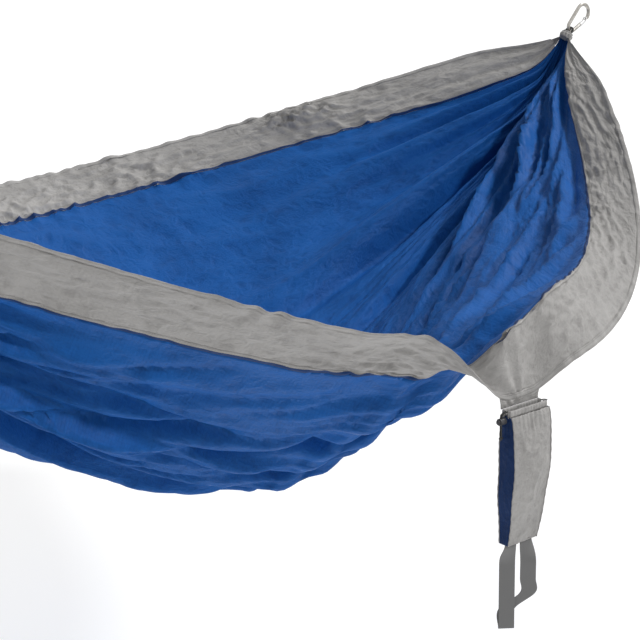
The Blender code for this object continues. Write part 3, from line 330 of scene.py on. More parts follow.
def cloth_relief(u, v, looks):
    """Height of the cloth over P(u, v): main folds, fanned pleats, long sweeping folds, crumples, one
    swollen roll on the far panel, puckers beside the sewing and creases that run up from the sack."""
    x, a = APEX_HALF_SPAN * u, np.abs(u)
    slack = smoothstep((1 - a) / 0.25)
    from_near, from_far = v, CLOTH_WIDTH - v
    side = np.minimum(from_near, from_far)
    in_centre = smoothstep((side - SIDE_PANEL_WIDTH) / 0.05)
    drawn = drawn_width(u, v)
    relief = main_folds(u, v, drawn) + pleats(u, v, drawn, looks.pleat_strength)
    sweep = creases(x, v + 0.30 * x, 0.15, 3, stretch=6.0)
    sweep = sweep + 0.45 * creases(x, v + 0.34 * x, 0.065, 4, stretch=7.0)
    belly = smoothstep((from_near - SIDE_PANEL_WIDTH) / 0.10) * smoothstep((0.80 - from_near) / 0.35)
    relief = relief + looks.sweep_height * slack * in_centre * (0.35 + 3.0 * belly) * sweep
    crumple = creases(x, v, 0.13, 5, stretch=1.6) + 0.6 * creases(x + 0.3 * v, v, 0.055, 8, stretch=1.4)
    relief = relief + looks.crumple_height * slack * (0.45 + 0.55 * in_centre) * crumple
    on_side = 1 - in_centre
    rough = 0.7 + 0.5 * ripples(x, v, 0.30, 17)
    side_crumple = creases(x, v, 0.060, 13, stretch=1.6) + 0.6 * creases(x, v, 0.026, 14, stretch=1.9)
    crumpled = np.where(from_far < from_near, *SIDE_CRUMPLES) * (0.3 + 0.7 * smoothstep((1 - a) / 0.6))
    crumpled = crumpled * (0.3 + 0.7 * smoothstep(side / 0.035))
    relief = relief + crumpled * looks.crumple_height * on_side * rough * side_crumple
    roll = bell((x - APEX_HALF_SPAN * ROLL_STATION) / ROLL_LENGTH)
    roll = roll * bell((from_far - ROLL_INSET) / ROLL_WIDTH)
    relief = relief + ROLL_HEIGHT * roll * (1 + 0.5 * creases(x, v + 0.4 * x, 0.034, 33))
    distance_seam = np.abs(side - SIDE_PANEL_WIDTH)
    at_seam, at_hem = bell(distance_seam / SEAM_PUCKER_REACH), bell(side / HEM_PUCKER_REACH)
    pucker = ripples(x, 0.25 * v, 0.034, 21) * (0.6 + 0.6 * ripples(x, v, 0.22, 22))
    relief = relief + looks.pucker_height * slack * (at_seam + 1.2 * at_hem) * pucker
    return relief + sack_creases(x, from_near)


def sack_creases(x, from_near):
    """Creases that run up from the sack: a sine of the bearing from it, gone with the distance."""
    along, across = x - APEX_HALF_SPAN * SACK_STATION, from_near + 0.015
    reach, bearing = np.hypot(along, across), np.arctan2(along, across)
    wave = np.sin(8.5 * bearing + 1.2 * np.sin(3 * bearing + 0.7)) * bell(reach / SACK_CREASE_REACH)
    return SACK_CREASE_HEIGHT * wave * smoothstep(reach / 0.05) * smoothstep(from_near / 0.02)


def cloth_point(u, v, looks):
    """P(u, v) moved along its normal by the relief."""
    return bed_surface(u, v) + cloth_relief(u, v, looks)[..., None] * surface_normal(u, v)


def stations(count, stop=1.0):
    """Values of u, evenly along a density that rises towards the gathers and the sack."""
    fine = np.linspace(-stop, stop, 6001)
    density = 1 + 1.6 * bell((1 - np.abs(fine)) / 0.16)
    density += 1.8 * bell((fine - NECK_STATION) / 0.10)
    total = np.concatenate([[0], np.cumsum((density[1:] + density[:-1]) / 2)])
    return np.interp(np.linspace(0, total[-1], count), total, fine)


# ---------------------------------------------------------------- meshes


def new_mesh_object(name, points, faces, uv=None, smooth=True):
    """A mesh object at the origin from arrays of points and of faces; uv is one pair for each point."""
    mesh = bpy.data.meshes.new(name)
    faces = faces.tolist() if isinstance(faces, np.ndarray) else faces
    mesh.from_pydata(np.asarray(points, float).tolist(), [], faces)
    if uv is not None:
        corner = np.zeros(len(mesh.loops), np.int32)
        mesh.loops.foreach_get("vertex_index", corner)
        layer = mesh.uv_layers.new(name="cloth")
        layer.data.foreach_set("uv", np.asarray(uv, np.float32)[corner].ravel())
    mesh.polygons.foreach_set("use_smooth", np.full(len(mesh.polygons), smooth))
    mesh.update()
    obj = bpy.data.objects.new(name, mesh)
    bpy.context.scene.collection.objects.link(obj)
    return obj


def grid_faces(rows, columns, start=0, flip=False, wrap=False):
    """Quads of a grid of points numbered row by row; wrap joins the last column to the first."""
    i = np.arange(rows - 1)[:, None] * columns
    j = np.arange(columns if wrap else columns - 1)[None, :]
    k = (j + 1) % columns
    quads = np.stack([i + j, i + columns + j, i + columns + k, i + k], -1).reshape(-1, 4) + start
    return quads[:, ::-1] if flip else quads


def shell(name, top, bottom, uv):
    """A closed sheet between two grids of points: both faces, and a rim of quads around them."""
    rows, columns = top.shape[:2]
    count = rows * columns
    index = np.arange(count).reshape(rows, columns)
    ring = np.concatenate([index[:-1, 0], index[-1, :-1], index[:0:-1, -1], index[0, :0:-1]])
    after = np.roll(ring, -1)
    rim = np.stack([ring, ring + count, after + count, after], -1)
    faces = np.concatenate([grid_faces(rows, columns), grid_faces(rows, columns, count, True), rim])
    points = np.concatenate([top.reshape(-1, 3), bottom.reshape(-1, 3)])
    both = np.concatenate([uv.reshape(-1, 2)] * 2)
    return outwards(new_mesh_object(name, points, faces, both))


def outwards(obj):
    """Turns the faces outwards, where the signed volume says that they point in; returns the object."""
    mesh = obj.data
    mesh.calc_loop_triangles()
    triangles = np.zeros(len(mesh.loop_triangles) * 3, np.int32)
    mesh.loop_triangles.foreach_get("vertices", triangles)
    points = np.zeros(len(mesh.vertices) * 3)
    mesh.vertices.foreach_get("co", points)
    corner = points.reshape(-1, 3)[triangles.reshape(-1, 3)]
    if np.einsum("ij,ij->", corner[:, 0], np.cross(corner[:, 1], corner[:, 2])) < 0:
        mesh.flip_normals()
    return obj


def tube_faces(rows, sides, closed=False):
    """Faces of a tube of points numbered ring by ring: closed joins its ends, otherwise they are capped."""
    faces, last = grid_faces(rows, sides, wrap=True).tolist(), (rows - 1) * sides
    if closed:
        return faces + [[last + k, k, (k + 1) % sides, last + (k + 1) % sides] for k in range(sides)]
    return faces + [list(range(sides)), list(range(last, last + sides))[::-1]]


def tube(name, path, across, up, profile, uv_length=None, closed=False):
    """A closed (across, up) profile carried along a path, with given side and up vectors at each
    point. Open paths get flat caps, closed ones join up."""
    sides = len(profile)
    a, b = np.asarray(profile)[:, 0][None, :, None], np.asarray(profile)[:, 1][None, :, None]
    points = path[:, None] + a * across[:, None] + b * up[:, None]
    faces = tube_faces(len(path), sides, closed)
    around = np.linspace(0, 1, sides, endpoint=False) if uv_length is None else uv_length
    uv = np.stack(np.meshgrid(travelled(path), around, indexing="ij"), -1)
    return outwards(new_mesh_object(name, points.reshape(-1, 3), faces, uv.reshape(-1, 2)))


def put(obj, body, material, slot, *nodes):
    """Gives a piece its finish, its body and the solids that it stands for; slot is not used."""
    obj.data.materials.clear()
    obj.data.materials.append(material)
    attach(obj, body)
    if nodes:
        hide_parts(*nodes)
    return obj


# ---------------------------------------------------------------- finishes


def add_node(tree, kind, inputs=None, **settings):
    """A node with its settings and the plain values of its sockets."""
    node = tree.nodes.new(kind)
    for key, value in settings.items():
        setattr(node, key, value)
    for key, value in (inputs or {}).items():
        node.inputs[key].default_value = value
    return node


def wire(tree, source, target):
    tree.links.new(source, target)


def math_node(tree, operation, first, second=None):
    """A Math node fed by sockets or plain numbers; returns its value."""
    node = add_node(tree, "ShaderNodeMath", operation=operation)
    for socket, value in zip(node.inputs, (first, second)):
        if isinstance(value, (int, float)):
            socket.default_value = value
        elif value is not None:
            wire(tree, value, socket)
    return node.outputs[0]


def plus(tree, first, second):
    return math_node(tree, "ADD", first, second)


def minus(tree, first, second):
    return math_node(tree, "SUBTRACT", first, second)


def times(tree, first, second):
    return math_node(tree, "MULTIPLY", first, second)


def larger(tree, first, second):
    return math_node(tree, "MAXIMUM", first, second)


def split(tree, vector):
    """The X, Y and Z sockets of a vector."""
    node = tree.nodes.new("ShaderNodeSeparateXYZ")
    wire(tree, vector, node.inputs[0])
    return node.outputs


def remapped(tree, value, low, high):
    """0 where the value is low, 1 where it is high."""
    node = add_node(tree, "ShaderNodeMapRange", {"From Min": low, "From Max": high})
    wire(tree, value, node.inputs["Value"])
    return node.outputs[0]


def blend_colours(tree, share, first, second):
    """first where share is 0, second where it is 1; each is a socket or a colour."""
    node = add_node(tree, "ShaderNodeMix", data_type="RGBA")
    wire(tree, share, node.inputs["Factor"])
    for socket, value in ((node.inputs[6], first), (node.inputs[7], second)):
        if isinstance(value, tuple):
            socket.default_value = value
        else:
            wire(tree, value, socket)
    return node.outputs[2]


def new_group(name, inputs, outputs):
    """An empty shader group: inputs as socket names with their defaults, outputs as socket names. The last
    word of a name says whether the socket is a vector or a colour; any other is a value."""
    tree = bpy.data.node_groups.new(name, "ShaderNodeTree")
    kinds = {"Vector": "NodeSocketVector", "Colour": "NodeSocketColor"}
    for in_out, labels in (("INPUT", inputs), ("OUTPUT", dict.fromkeys(outputs))):
        for label, default in labels.items():
            kind = kinds.get(label.split()[-1].capitalize(), "NodeSocketFloat")
            socket = tree.interface.new_socket(name=label, in_out=in_out, socket_type=kind)
            if default is not None:
                socket.default_value = default
    return tree, tree.nodes.new("NodeGroupInput").outputs, tree.nodes.new("NodeGroupOutput").inputs


def noise(tree, vector, scale, detail=3.0, roughness=0.55, distortion=0.0):
    values = {"Scale": scale, "Detail": detail, "Roughness": roughness, "Distortion": distortion}
    node = add_node(tree, "ShaderNodeTexNoise", values)
    wire(tree, vector, node.inputs["Vector"])
    return node.outputs["Fac"]


def line_grid(tree, along, spacing, width):
    """1 on thin lines spacing apart, along a coordinate in metres, and 0 between them."""
    share = math_node(tree, "FRACT", math_node(tree, "DIVIDE", along, spacing))
    return math_node(tree, "LESS_THAN", share, width / spacing)


def nylon_group():
    """Woven nylon: fine crumples with painted light on their ridges and painted shade in their creases, a
    thread grid and a slight cloudiness.
    """
    inputs = {"Vector": None, "Colour": None, "Deep colour": None, "Crumple": 1.0, "Thread grid": 0.2}
    tree, given, result = new_group("Woven nylon", inputs, ("Colour", "Roughness", "Height"))
    large = noise(tree, given["Vector"], 9.0, 3.0, 0.5, 0.15)
    crumple = noise(tree, given["Vector"], 34.0, 4.0, 0.55, 0.25)
    ridge = math_node(tree, "ABSOLUTE", minus(tree, crumple, 0.5))
    ridge = minus(tree, 1.0, times(tree, ridge, 5.0))
    fine = noise(tree, given["Vector"], 240.0, 2.0, 0.6, 0.3)
    parts = split(tree, given["Vector"])
    lines = larger(tree, *(line_grid(tree, parts[axis], THREAD_PITCH, THREAD_WIDTH) for axis in "XY"))
    lines = times(tree, lines, given["Thread grid"])
    shade = times(tree, large, 0.7)
    shade = plus(tree, shade, times(tree, fine, 0.3))
    # Painted light and shade: the crumples' ridges lighten the colour, and the deep colour fills the creases
    # between them.
    shade = plus(tree, shade, times(tree, ridge, 0.22))
    shade = minus(tree, shade, times(tree, lines, 0.25))
    share = remapped(tree, shade, 0.15, 0.75)
    wire(tree, blend_colours(tree, share, given["Deep colour"], given["Colour"]), result["Colour"])
    wire(tree, plus(tree, 0.40, times(tree, fine, 0.25)), result["Roughness"])
    height = plus(tree, times(tree, ridge, given["Crumple"]), lines)
    height = plus(tree, height, times(tree, fine, 0.25))
    wire(tree, height, result["Height"])
    return tree


def stitch_group():
    """Rows of lockstitch: dashes along X at two heights across Y, as a mask."""
    inputs = {"Vector": None, "First row": 0.002, "Second row": 0.009, "Stitch": 0.0035}
    tree, given, result = new_group("Stitch rows", inputs, ("Mask",))
    parts = split(tree, given["Vector"])
    step = math_node(tree, "FRACT", math_node(tree, "DIVIDE", parts["X"], given["Stitch"]))
    dash = math_node(tree, "LESS_THAN", step, STITCH_SHARE)
    rows = []
    for label in ("First row", "Second row"):
        off = math_node(tree, "ABSOLUTE", minus(tree, parts["Y"], given[label]))
        rows.append(math_node(tree, "LESS_THAN", off, STITCH_HALF_WIDTH))
    wire(tree, times(tree, dash, larger(tree, *rows)), result["Mask"])
    return tree


def webbing_group():
    """Tape webbing: ribs across, a herringbone row along, and a little lint."""
    inputs = {"Vector": None, "Colour": None, "Deep colour": None}
    tree, given, result = new_group("Ribbed webbing", inputs, ("Colour", "Height"))
    parts = split(tree, given["Vector"])
    waves = []
    for axis, spacing in (("X", 0.0016), ("Y", 0.0028)):
        turn = times(tree, parts[axis], 2 * math.pi / spacing)
        waves.append(math_node(tree, "SINE", turn))
    across = plus(tree, 0.65, times(tree, waves[1], 0.35))
    weave = times(tree, waves[0], across)
    lint = noise(tree, given["Vector"], 420.0, 2.0)
    share = remapped(tree, plus(tree, weave, lint), -1.0, 1.6)
    wire(tree, blend_colours(tree, share, given["Deep colour"], given["Colour"]), result["Colour"])
    wire(tree, weave, result["Height"])
    return tree


def worn_group():
    """Handled hard surfaces: fine scratches and dull patches that change colour and roughness."""
    inputs = {"Vector": None, "Colour": None, "Worn colour": None, "Roughness": 0.35}
    tree, given, result = new_group("Handling wear", inputs, ("Colour", "Roughness", "Height"))
    stretched = add_node(tree, "ShaderNodeMapping", {"Scale": (1.0, 1.0, 0.22)})
    wire(tree, given["Vector"], stretched.inputs["Vector"])
    scratches = noise(tree, stretched.outputs[0], 900.0, 2.0, 0.7)
    patches = noise(tree, given["Vector"], 140.0, 3.0, 0.6)
    wear = plus(tree, times(tree, scratches, 0.4), times(tree, patches, 0.6))
    share = remapped(tree, wear, 0.45, 0.75)
    wire(tree, blend_colours(tree, share, given["Colour"], given["Worn colour"]), result["Colour"])
    wire(tree, plus(tree, given["Roughness"], times(tree, patches, 0.2)), result["Roughness"])
    wire(tree, scratches, result["Height"])
    return tree


GROUP_MAKERS = {
    "Woven nylon": nylon_group,
    "Stitch rows": stitch_group,
    "Ribbed webbing": webbing_group,
    "Handling wear": worn_group,
}


def placed(tree, name, vector, **values):
    """A shader group placed in a material, made the first time it is needed."""
    node = tree.nodes.new("ShaderNodeGroup")
    node.node_tree = bpy.data.node_groups.get(name) or GROUP_MAKERS[name]()
    wire(tree, vector, node.inputs["Vector"])
    for key, value in values.items():
        node.inputs[key.replace("_", " ").capitalize()].default_value = value
    return node


def new_material(name, metallic=0.0, specular=0.5):
    """A material with its Principled shader; returns material, tree, shader."""
    material = bpy.data.materials.new(name)
    material.use_nodes = True
    shader = material.node_tree.nodes["Principled BSDF"]
    shader.inputs["Metallic"].default_value = metallic
    shader.inputs["Specular IOR Level"].default_value = specular
    return material, material.node_tree, shader


def dressed(tree, shader, colour, roughness, height, distance):
    """Gives a shader its colour, its roughness as a socket or a number, and its bump."""
    wire(tree, colour, shader.inputs["Base Color"])
    if isinstance(roughness, float):
        shader.inputs["Roughness"].default_value = roughness
    else:
        wire(tree, roughness, shader.inputs["Roughness"])
    bump = add_node(tree, "ShaderNodeBump", {"Distance": distance, "Strength": 1.0})
    wire(tree, height, bump.inputs["Height"])
    wire(tree, bump.outputs[0], shader.inputs["Normal"])


def cloth_coordinates(tree):
    return add_node(tree, "ShaderNodeUVMap", uv_map="cloth").outputs[0]


def object_coordinates(tree):
    return tree.nodes.new("ShaderNodeTexCoord").outputs["Object"]


def cloth_material(name, colour, deep, crumple=1.0, grid=0.2, distance=0.0012):
    """Woven nylon on the piece's own UV, which is in metres along and across the cloth."""
    material, tree, shader = new_material(name, specular=0.12)
    where = cloth_coordinates(tree)
    values = {"Colour": colour, "Deep_colour": deep, "Crumple": crumple, "Thread_grid": grid}
    nylon = placed(tree, "Woven nylon", where, **values)
    found = nylon.outputs
    dressed(tree, shader, found["Colour"], found["Roughness"], found["Height"], distance)
    return material


def sewn_material(name, colour, deep, thread, rows, edge=None):
    """Nylon with two rows of stitches; edge is (from, to, colour) of a darker strip across it, a painted
    shadow along the seam.
    """
    material, tree, shader = new_material(name, specular=0.12)
    where = cloth_coordinates(tree)
    nylon = placed(tree, "Woven nylon", where, Colour=colour, Deep_colour=deep, Crumple=0.7, Thread_grid=0.1)
    stitches = placed(tree, "Stitch rows", where, First_row=rows[0], Second_row=rows[1])
    base = nylon.outputs["Colour"]
    # Painted shadow: the dark strip stands for the shade along the edge of the seam.
    if edge:
        parts = split(tree, where)
        above = math_node(tree, "GREATER_THAN", parts["Y"], edge[0])
        below = math_node(tree, "LESS_THAN", parts["Y"], edge[1])
        base = blend_colours(tree, times(tree, above, below), base, edge[2])
    mask = stitches.outputs["Mask"]
    base = blend_colours(tree, mask, base, thread)
    sunk = minus(tree, nylon.outputs["Height"], times(tree, mask, 0.8))
    dressed(tree, shader, base, nylon.outputs["Roughness"], sunk, 0.0010)
    return material


def strap_material(name, colour, deep):
    material, tree, shader = new_material(name, specular=0.2)
    strap = placed(tree, "Ribbed webbing", cloth_coordinates(tree), Colour=colour, Deep_colour=deep)
    dressed(tree, shader, strap.outputs["Colour"], 0.7, strap.outputs["Height"], 0.0004)
    return material


def braid_material(name, colour, deep, pitch, around, use_uv=True):
    """Braided cord: two crossing spirals of strands, read along and around the cord."""
    material, tree, shader = new_material(name, specular=0.2)
    where = cloth_coordinates(tree) if use_uv else object_coordinates(tree)
    parts = split(tree, where)
    along = times(tree, parts["X"], 2 * math.pi / pitch)
    turn = times(tree, parts["Y" if use_uv else "Z"], around)
    one = math_node(tree, "SINE", plus(tree, along, turn))
    two = math_node(tree, "SINE", minus(tree, along, turn))
    strands = times(tree, one, two)
    lint = noise(tree, where, 700.0, 2.0)
    share = remapped(tree, plus(tree, strands, lint), -1.0, 1.6)
    dressed(tree, shader, blend_colours(tree, share, deep, colour), 0.75, strands, 0.0003)
    return material


def hard_material(name, colour, worn, roughness, metallic):
    """Metal or moulded plastic on Object coordinates, with handling wear."""
    material, tree, shader = new_material(name, metallic=metallic)
    where = object_coordinates(tree)
    wear = placed(tree, "Handling wear", where, Colour=colour, Worn_colour=worn, Roughness=roughness)
    found = wear.outputs
    dressed(tree, shader, found["Colour"], found["Roughness"], found["Height"], 0.00005)
    return material


def finish_named(name, colours):
    """The finishes of this object, each made once."""
    ready = bpy.data.materials.get(name)
    if ready:
        return ready
    # The deep colours are each nylon's random mottle and also the painted shade in the creases of its
    # crumples.
    blue, blue_mottle_and_crease_shade = tuple(colours.blue), tuple(colours.blue_mottle_and_crease_shade)
    grey, grey_mottle_and_crease_shade = tuple(colours.grey), tuple(colours.grey_mottle_and_crease_shade)
    navy_and_seam_shadow, thread = tuple(colours.navy_and_seam_shadow), tuple(colours.thread)
    rope, deep_rope = tuple(colours.rope), (0.02, 0.02, 0.02, 1.0)
    near_side, far_side = SIDE_PANEL_WIDTH, CLOTH_WIDTH - SIDE_PANEL_WIDTH
    near_rows = [near_side - row for row in reversed(SEAM_ROWS)]
    far_rows = [far_side + row for row in SEAM_ROWS]
    # Painted shadow: a navy strip on the blue side of each seam, where shade falls below it.
    near_seam_shadow = (near_side, near_side + SEAM_WIDTH / 2, navy_and_seam_shadow)
    far_seam_shadow = (far_side - SEAM_WIDTH / 2, far_side, navy_and_seam_shadow)
    metal, worn_metal = tuple(colours.metal), (0.62, 0.60, 0.57, 1.0)
    steel, worn_steel = (0.60, 0.60, 0.60, 1.0), (0.72, 0.72, 0.71, 1.0)
    plastic, worn_plastic = (0.022, 0.022, 0.026, 1.0), (0.07, 0.07, 0.075, 1.0)
    makers = {
        "blue nylon": lambda: cloth_material(name, blue, blue_mottle_and_crease_shade),
        "grey nylon": lambda: cloth_material(name, grey, grey_mottle_and_crease_shade, 1.2, 0.12),
        "bunched nylon": lambda: cloth_material(name, grey, grey_mottle_and_crease_shade, 1.6, 0.1, 0.0016),
        "gusset nylon": lambda: cloth_material(name, navy_and_seam_shadow, (0.008, 0.024, 0.085, 1.0)),
        "near seam": lambda: sewn_material(name, grey, grey_mottle_and_crease_shade, thread, near_rows, near_seam_shadow),
        "far seam": lambda: sewn_material(name, grey, grey_mottle_and_crease_shade, thread, far_rows, far_seam_shadow),
        "hem": lambda: sewn_material(name, grey, grey_mottle_and_crease_shade, thread, HEM_STITCH_ROWS),
        "channel": lambda: sewn_material(name, grey, grey_mottle_and_crease_shade, thread, CHANNEL_ROWS),
        "webbing": lambda: strap_material(name, tuple(colours.webbing), (0.045, 0.045, 0.048, 1.0)),
        "braided rope": lambda: braid_material(name, rope, deep_rope, 0.0035, 6 * math.pi),
        "thin cord": lambda: braid_material(name, rope, deep_rope, 0.0030, 2500.0, use_uv=False),
        "carabiner metal": lambda: hard_material(name, metal, worn_metal, 0.30, 1.0),
        "gate steel": lambda: hard_material(name, steel, worn_steel, 0.22, 1.0),
        "dark plastic": lambda: hard_material(name, plastic, worn_plastic, 0.42, 0.0),
    }
    return makers[name]()


# ---------------------------------------------------------------- shapes of the ends and the sack


def end_frame(side):
    """Frame of an end: X along the pull away from the bed, Y across, origin on the rope's centre."""
    pull = Vector((side * math.cos(PULL), 0, math.sin(PULL)))
    across = Vector((0, side, 0))
    place = Matrix((pull, across, pull.cross(across))).transposed().to_4x4()
    place.translation = Vector((0.0 if side > 0 else 2 * MIDDLE_X, 0, 0))
    return np.array(place)


def in_frame(place, points):
    return points @ place[:3, :3].T + place[:3, 3]


def bunched_points(place, looks):
    """Bunched cloth: radius R(t) times 1 + waves in the turn, as pleats that twist a little along t."""
    t = np.linspace(0, 1, 40)[:, None]
    turn = turns(96)[None, :]
    along = -THROAT_REACH - BUNCH_TUCK + t * (BUNDLE_LENGTH + BUNCH_EXTRA)
    swell = np.sin(math.pi * np.clip(t * 1.05, 0, 1)) ** 0.7
    radius = BUNDLE_ROOT_RADIUS + (BUNDLE_RADIUS - BUNDLE_ROOT_RADIUS) * swell
    pinch = 1 - PINCH_DEPTH * bell((t - PINCH_AT) / PINCH_REACH)
    twist = turn + 0.35 * t
    waves = 0.055 * np.cos(11 * twist + 1.5 * np.sin(2 * twist))
    waves = waves + 0.035 * np.cos(23 * twist + np.sin(3 * turn))
    waves = waves * (0.6 + 0.4 * looks.pleat_strength / 0.28)
    closing = np.sqrt(np.clip(1 - ((t - 0.93) / 0.07).clip(0, 1) ** 2, 0, 1))
    opening = np.sqrt(np.clip(1 - ((0.05 - t) / 0.05).clip(0, 1) ** 2, 0, 1))
    r = radius * pinch * (1 + waves) * np.minimum(closing, opening)
    local = np.stack([along + 0 * turn, r * np.cos(turn), r * np.sin(turn)], -1)
    return in_frame(place, local)


def sack_origin():
    """Middle of the line on which the sack turns: under the hem, at the tab's lower edge."""
    x, y, _ = near_edge(SACK_STATION)
    return np.array([x, y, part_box("sack_tab")[0][2]])


def sack_corners(h):
    """x of both sides and y of front and back at share h of the height, from the sack's origin."""
    left = np.full_like(h, -SACK_WIDTH / 2)
    right = SACK_WIDTH / 2 - SACK_TAPER * h**2
    fill = (SACK_FULL_DEPTH - SACK_MOUTH_DEPTH) * np.sin(math.pi * np.clip(h, 0, 1) ** 0.8)
    back = TAB_THICKNESS / 2 + 0.3 * fill
    front = TAB_THICKNESS / 2 - SACK_MOUTH_DEPTH - 0.7 * fill
    return left, right, front, back


def corners_at(h):
    """The same four at one height, as plain numbers."""
    return [float(c) for c in sack_corners(np.array(h))]


def sack_side(h, a, side, looks):
    """Outer points of one side of the sack: straight between its corners, plus a bow, slack dents that
    vanish at the corners, and a lean of the whole section that changes down the sack."""
    left, right, front, back = sack_corners(h)
    corners = {"front": (left, front), "right": (right, front), "back": (right, back), "left": (left, back)}
    order = ["front", "right", "back", "left"]
    x0, y0 = corners[side]
    x1, y1 = corners[order[(order.index(side) + 1) % 4]]
    out = {"front": (0, -1), "right": (1, 0), "back": (0, 1), "left": (-1, 0)}[side]
    wide = side in ("front", "back")
    bow = (PANEL_BOW if wide else GUSSET_BOW) * np.sin(math.pi * a)
    bow = bow * np.sin(math.pi * np.clip(h, 0, 1)) ** 0.6
    seed = 60 + order.index(side)
    width = SACK_WIDTH if wide else SACK_FULL_DEPTH
    dents = creases(h * SACK_HEIGHT, a * width, 0.075, seed, stretch=1.8)
    dents = dents + 0.5 * creases(h * SACK_HEIGHT, a * width, 0.032, seed + 9, stretch=1.4)
    gather = np.sin(2 * math.pi * (9 if wide else 4) * a + seed) * bell(h / 0.16)
    shape = np.sin(math.pi * a) ** 0.5
    dent_depth = PANEL_DENT if wide else GUSSET_DENT
    bow = bow + shape * (dent_depth * dents + MOUTH_GATHER * gather) * looks.sack_slack
    lean_x = 0.0016 * np.sin(7.0 * h + 0.6) + 0.0008 * np.sin(17 * h)
    lean_y = 0.0014 * np.sin(6.0 * h + 2.0)
    x = x0 + (x1 - x0) * a + bow * out[0] + lean_x
    y = y0 + (y1 - y0) * a + bow * out[1] + lean_y
    skew = 1 - 2 * a
    step = np.stack([-out[0] - out[1] * skew, -out[1] + out[0] * skew, 0 * x], -1)
    origin = sack_origin()
    return np.stack([origin[0] + x, origin[1] + y, origin[2] - HINGE_GAP - h * SACK_HEIGHT], -1), step


def channel_path(front_side):
    """Middle line of half of the mouth's channel, seen from above, from the left split to the right."""
    left, right, front, back = corners_at(0.0)
    half = CHANNEL_DEPTH / 2
    sign = -1 if front_side else 1
    edge = (front + half) if front_side else (back - half)
    side_y = (front + back) / 2 + sign * CHANNEL_SPLIT / 2
    r = CHANNEL_CORNER
    path = [(left + half, side_y)]
    for corner_x, start in ((left + half + r, math.pi), (right - half - r, math.pi / 2)):
        for k in range(5):
            a = start - math.pi / 2 * k / 4
            path.append((corner_x + r * math.cos(a), edge - sign * r + sign * r * math.sin(a)))
    path.append((right - half, side_y))
    return path


def smooth_route(points, spacing):
    """Points every spacing metres along a Catmull-Rom curve through a list of points."""
    p = np.array([points[0], *points, points[-1]], float)
    t = np.linspace(0, 1, 12, endpoint=False)[None, :, None]
    a, b, c, d = (p[k : len(p) - 3 + k, None] for k in range(4))
    bend, turn = 2 * a - 5 * b + 4 * c - d, 3 * b - a - 3 * c + d
    fine = 0.5 * (2 * b + (c - a) * t + bend * t**2 + turn * t**3)
    fine = np.concatenate([fine.reshape(-1, p.shape[1]), p[-1:]])
    travel = travelled(fine)
    stops = np.linspace(0, travel[-1], max(2, round(travel[-1] / spacing)) + 1)
    return np.stack([np.interp(stops, travel, fine[:, k]) for k in range(p.shape[1])], -1)


def tail_place():
    """x of the drawstring's tails and y of the middle of the mouth, from the sack's origin."""
    left, _, front, back = corners_at(0.0)
    return left - TAIL_STANDOFF, (front + back) / 2


def drawstring_route():
    """One cord: a tail, the front channel, a bight at the right split, the back channel, a tail."""
    tail_x, middle = tail_place()
    right = corners_at(0.0)[1]
    half = CHANNEL_DEPTH / 2
    lie = -HINGE_GAP - CHANNEL_WALL - SEWN_GAP - CORD_RADIUS
    strand = STRAND_PITCH / 2

    def one_side(sign):
        run = channel_path(sign < 0)
        y = middle + sign * strand
        leave = [
            (tail_x, y, -TAIL_LENGTH),
            (tail_x, y, -TAIL_LENGTH * 0.6),
            (tail_x, y, -0.0125),
            (tail_x + 0.0012, y, -0.0075),
            (tail_x + 0.0050, y, -0.0040),
            (-SACK_WIDTH / 2 - 0.0018, y, lie - 0.0002),
            (-SACK_WIDTH / 2 + half * 0.6, y + sign * 0.0006, lie),
            (-SACK_WIDTH / 2 + half, middle + sign * (CHANNEL_SPLIT / 2 + 0.0012), lie),
        ]
        inside = [(x, y_run, lie) for x, y_run in run[1:-1]]
        bight = [
            (right - half, middle + sign * (CHANNEL_SPLIT / 2 + 0.0012), lie),
            (right - half * 0.3, middle + sign * 0.0019, lie),
            (right + BIGHT_REACH * 0.45, middle + sign * 0.0022, lie - 0.0004),
            (right + BIGHT_REACH * 0.85, middle + sign * 0.0018, lie - 0.0014),
        ]
        return leave, inside, bight

    spacing = 1.6 * 2 * CORD_RADIUS
    leave_front, front, bight_front = one_side(-1)
    leave_back, back, bight_back = one_side(1)
    apex = [(right + BIGHT_REACH * 1.1, middle, lie - 0.002)]
    bight = [front[-1], *bight_front, *apex, *reversed(bight_back), back[-1]]
    first = smooth_route([*leave_front, front[0]], spacing)
    turn = smooth_route(bight, spacing)
    last = smooth_route([back[0], *reversed(leave_back)], spacing)
    return np.array([*first[:-1], *front[:-1], *turn, *reversed(back[1:-1]), *last]) + sack_origin()


def handle_stations():
    """Strap's middle line as (sideways, back, up) steps from the base, smoothed."""
    leg, low, bend = LEG_PITCH / 2, -HANDLE_DROP, FOLD_STANDOFF / 2
    points = [(-leg, 0, -HANDLE_GAP)]
    points += [(-leg, 0, low * t) for t in (0.09, 0.18, 0.27, 0.45, 0.63, 0.81)]
    for k in range(7):
        a = math.pi * k / 6
        points.append((-leg, bend - bend * math.cos(a), low + bend - bend * math.sin(a)))
    points += [(-leg, FOLD_STANDOFF, low + CROSS_LOW), (leg, FOLD_STANDOFF, low + CROSS_HIGH)]
    for t, s in ((0.45, 1.0), (0.27, 0.75), (0.18, 0.5), (0.09, 0.25)):
        points.append((leg, FOLD_STANDOFF * s, low * t))
    points += [(leg, 0, -HANDLE_GAP)]
    return smooth_route(points, STRAP_STEP)


# ---------------------------------------------------------------- sizes and colours a user would change


def length_property(name, description, default):
    return bpy.props.FloatProperty(name=name, description=description, default=default, unit="LENGTH")


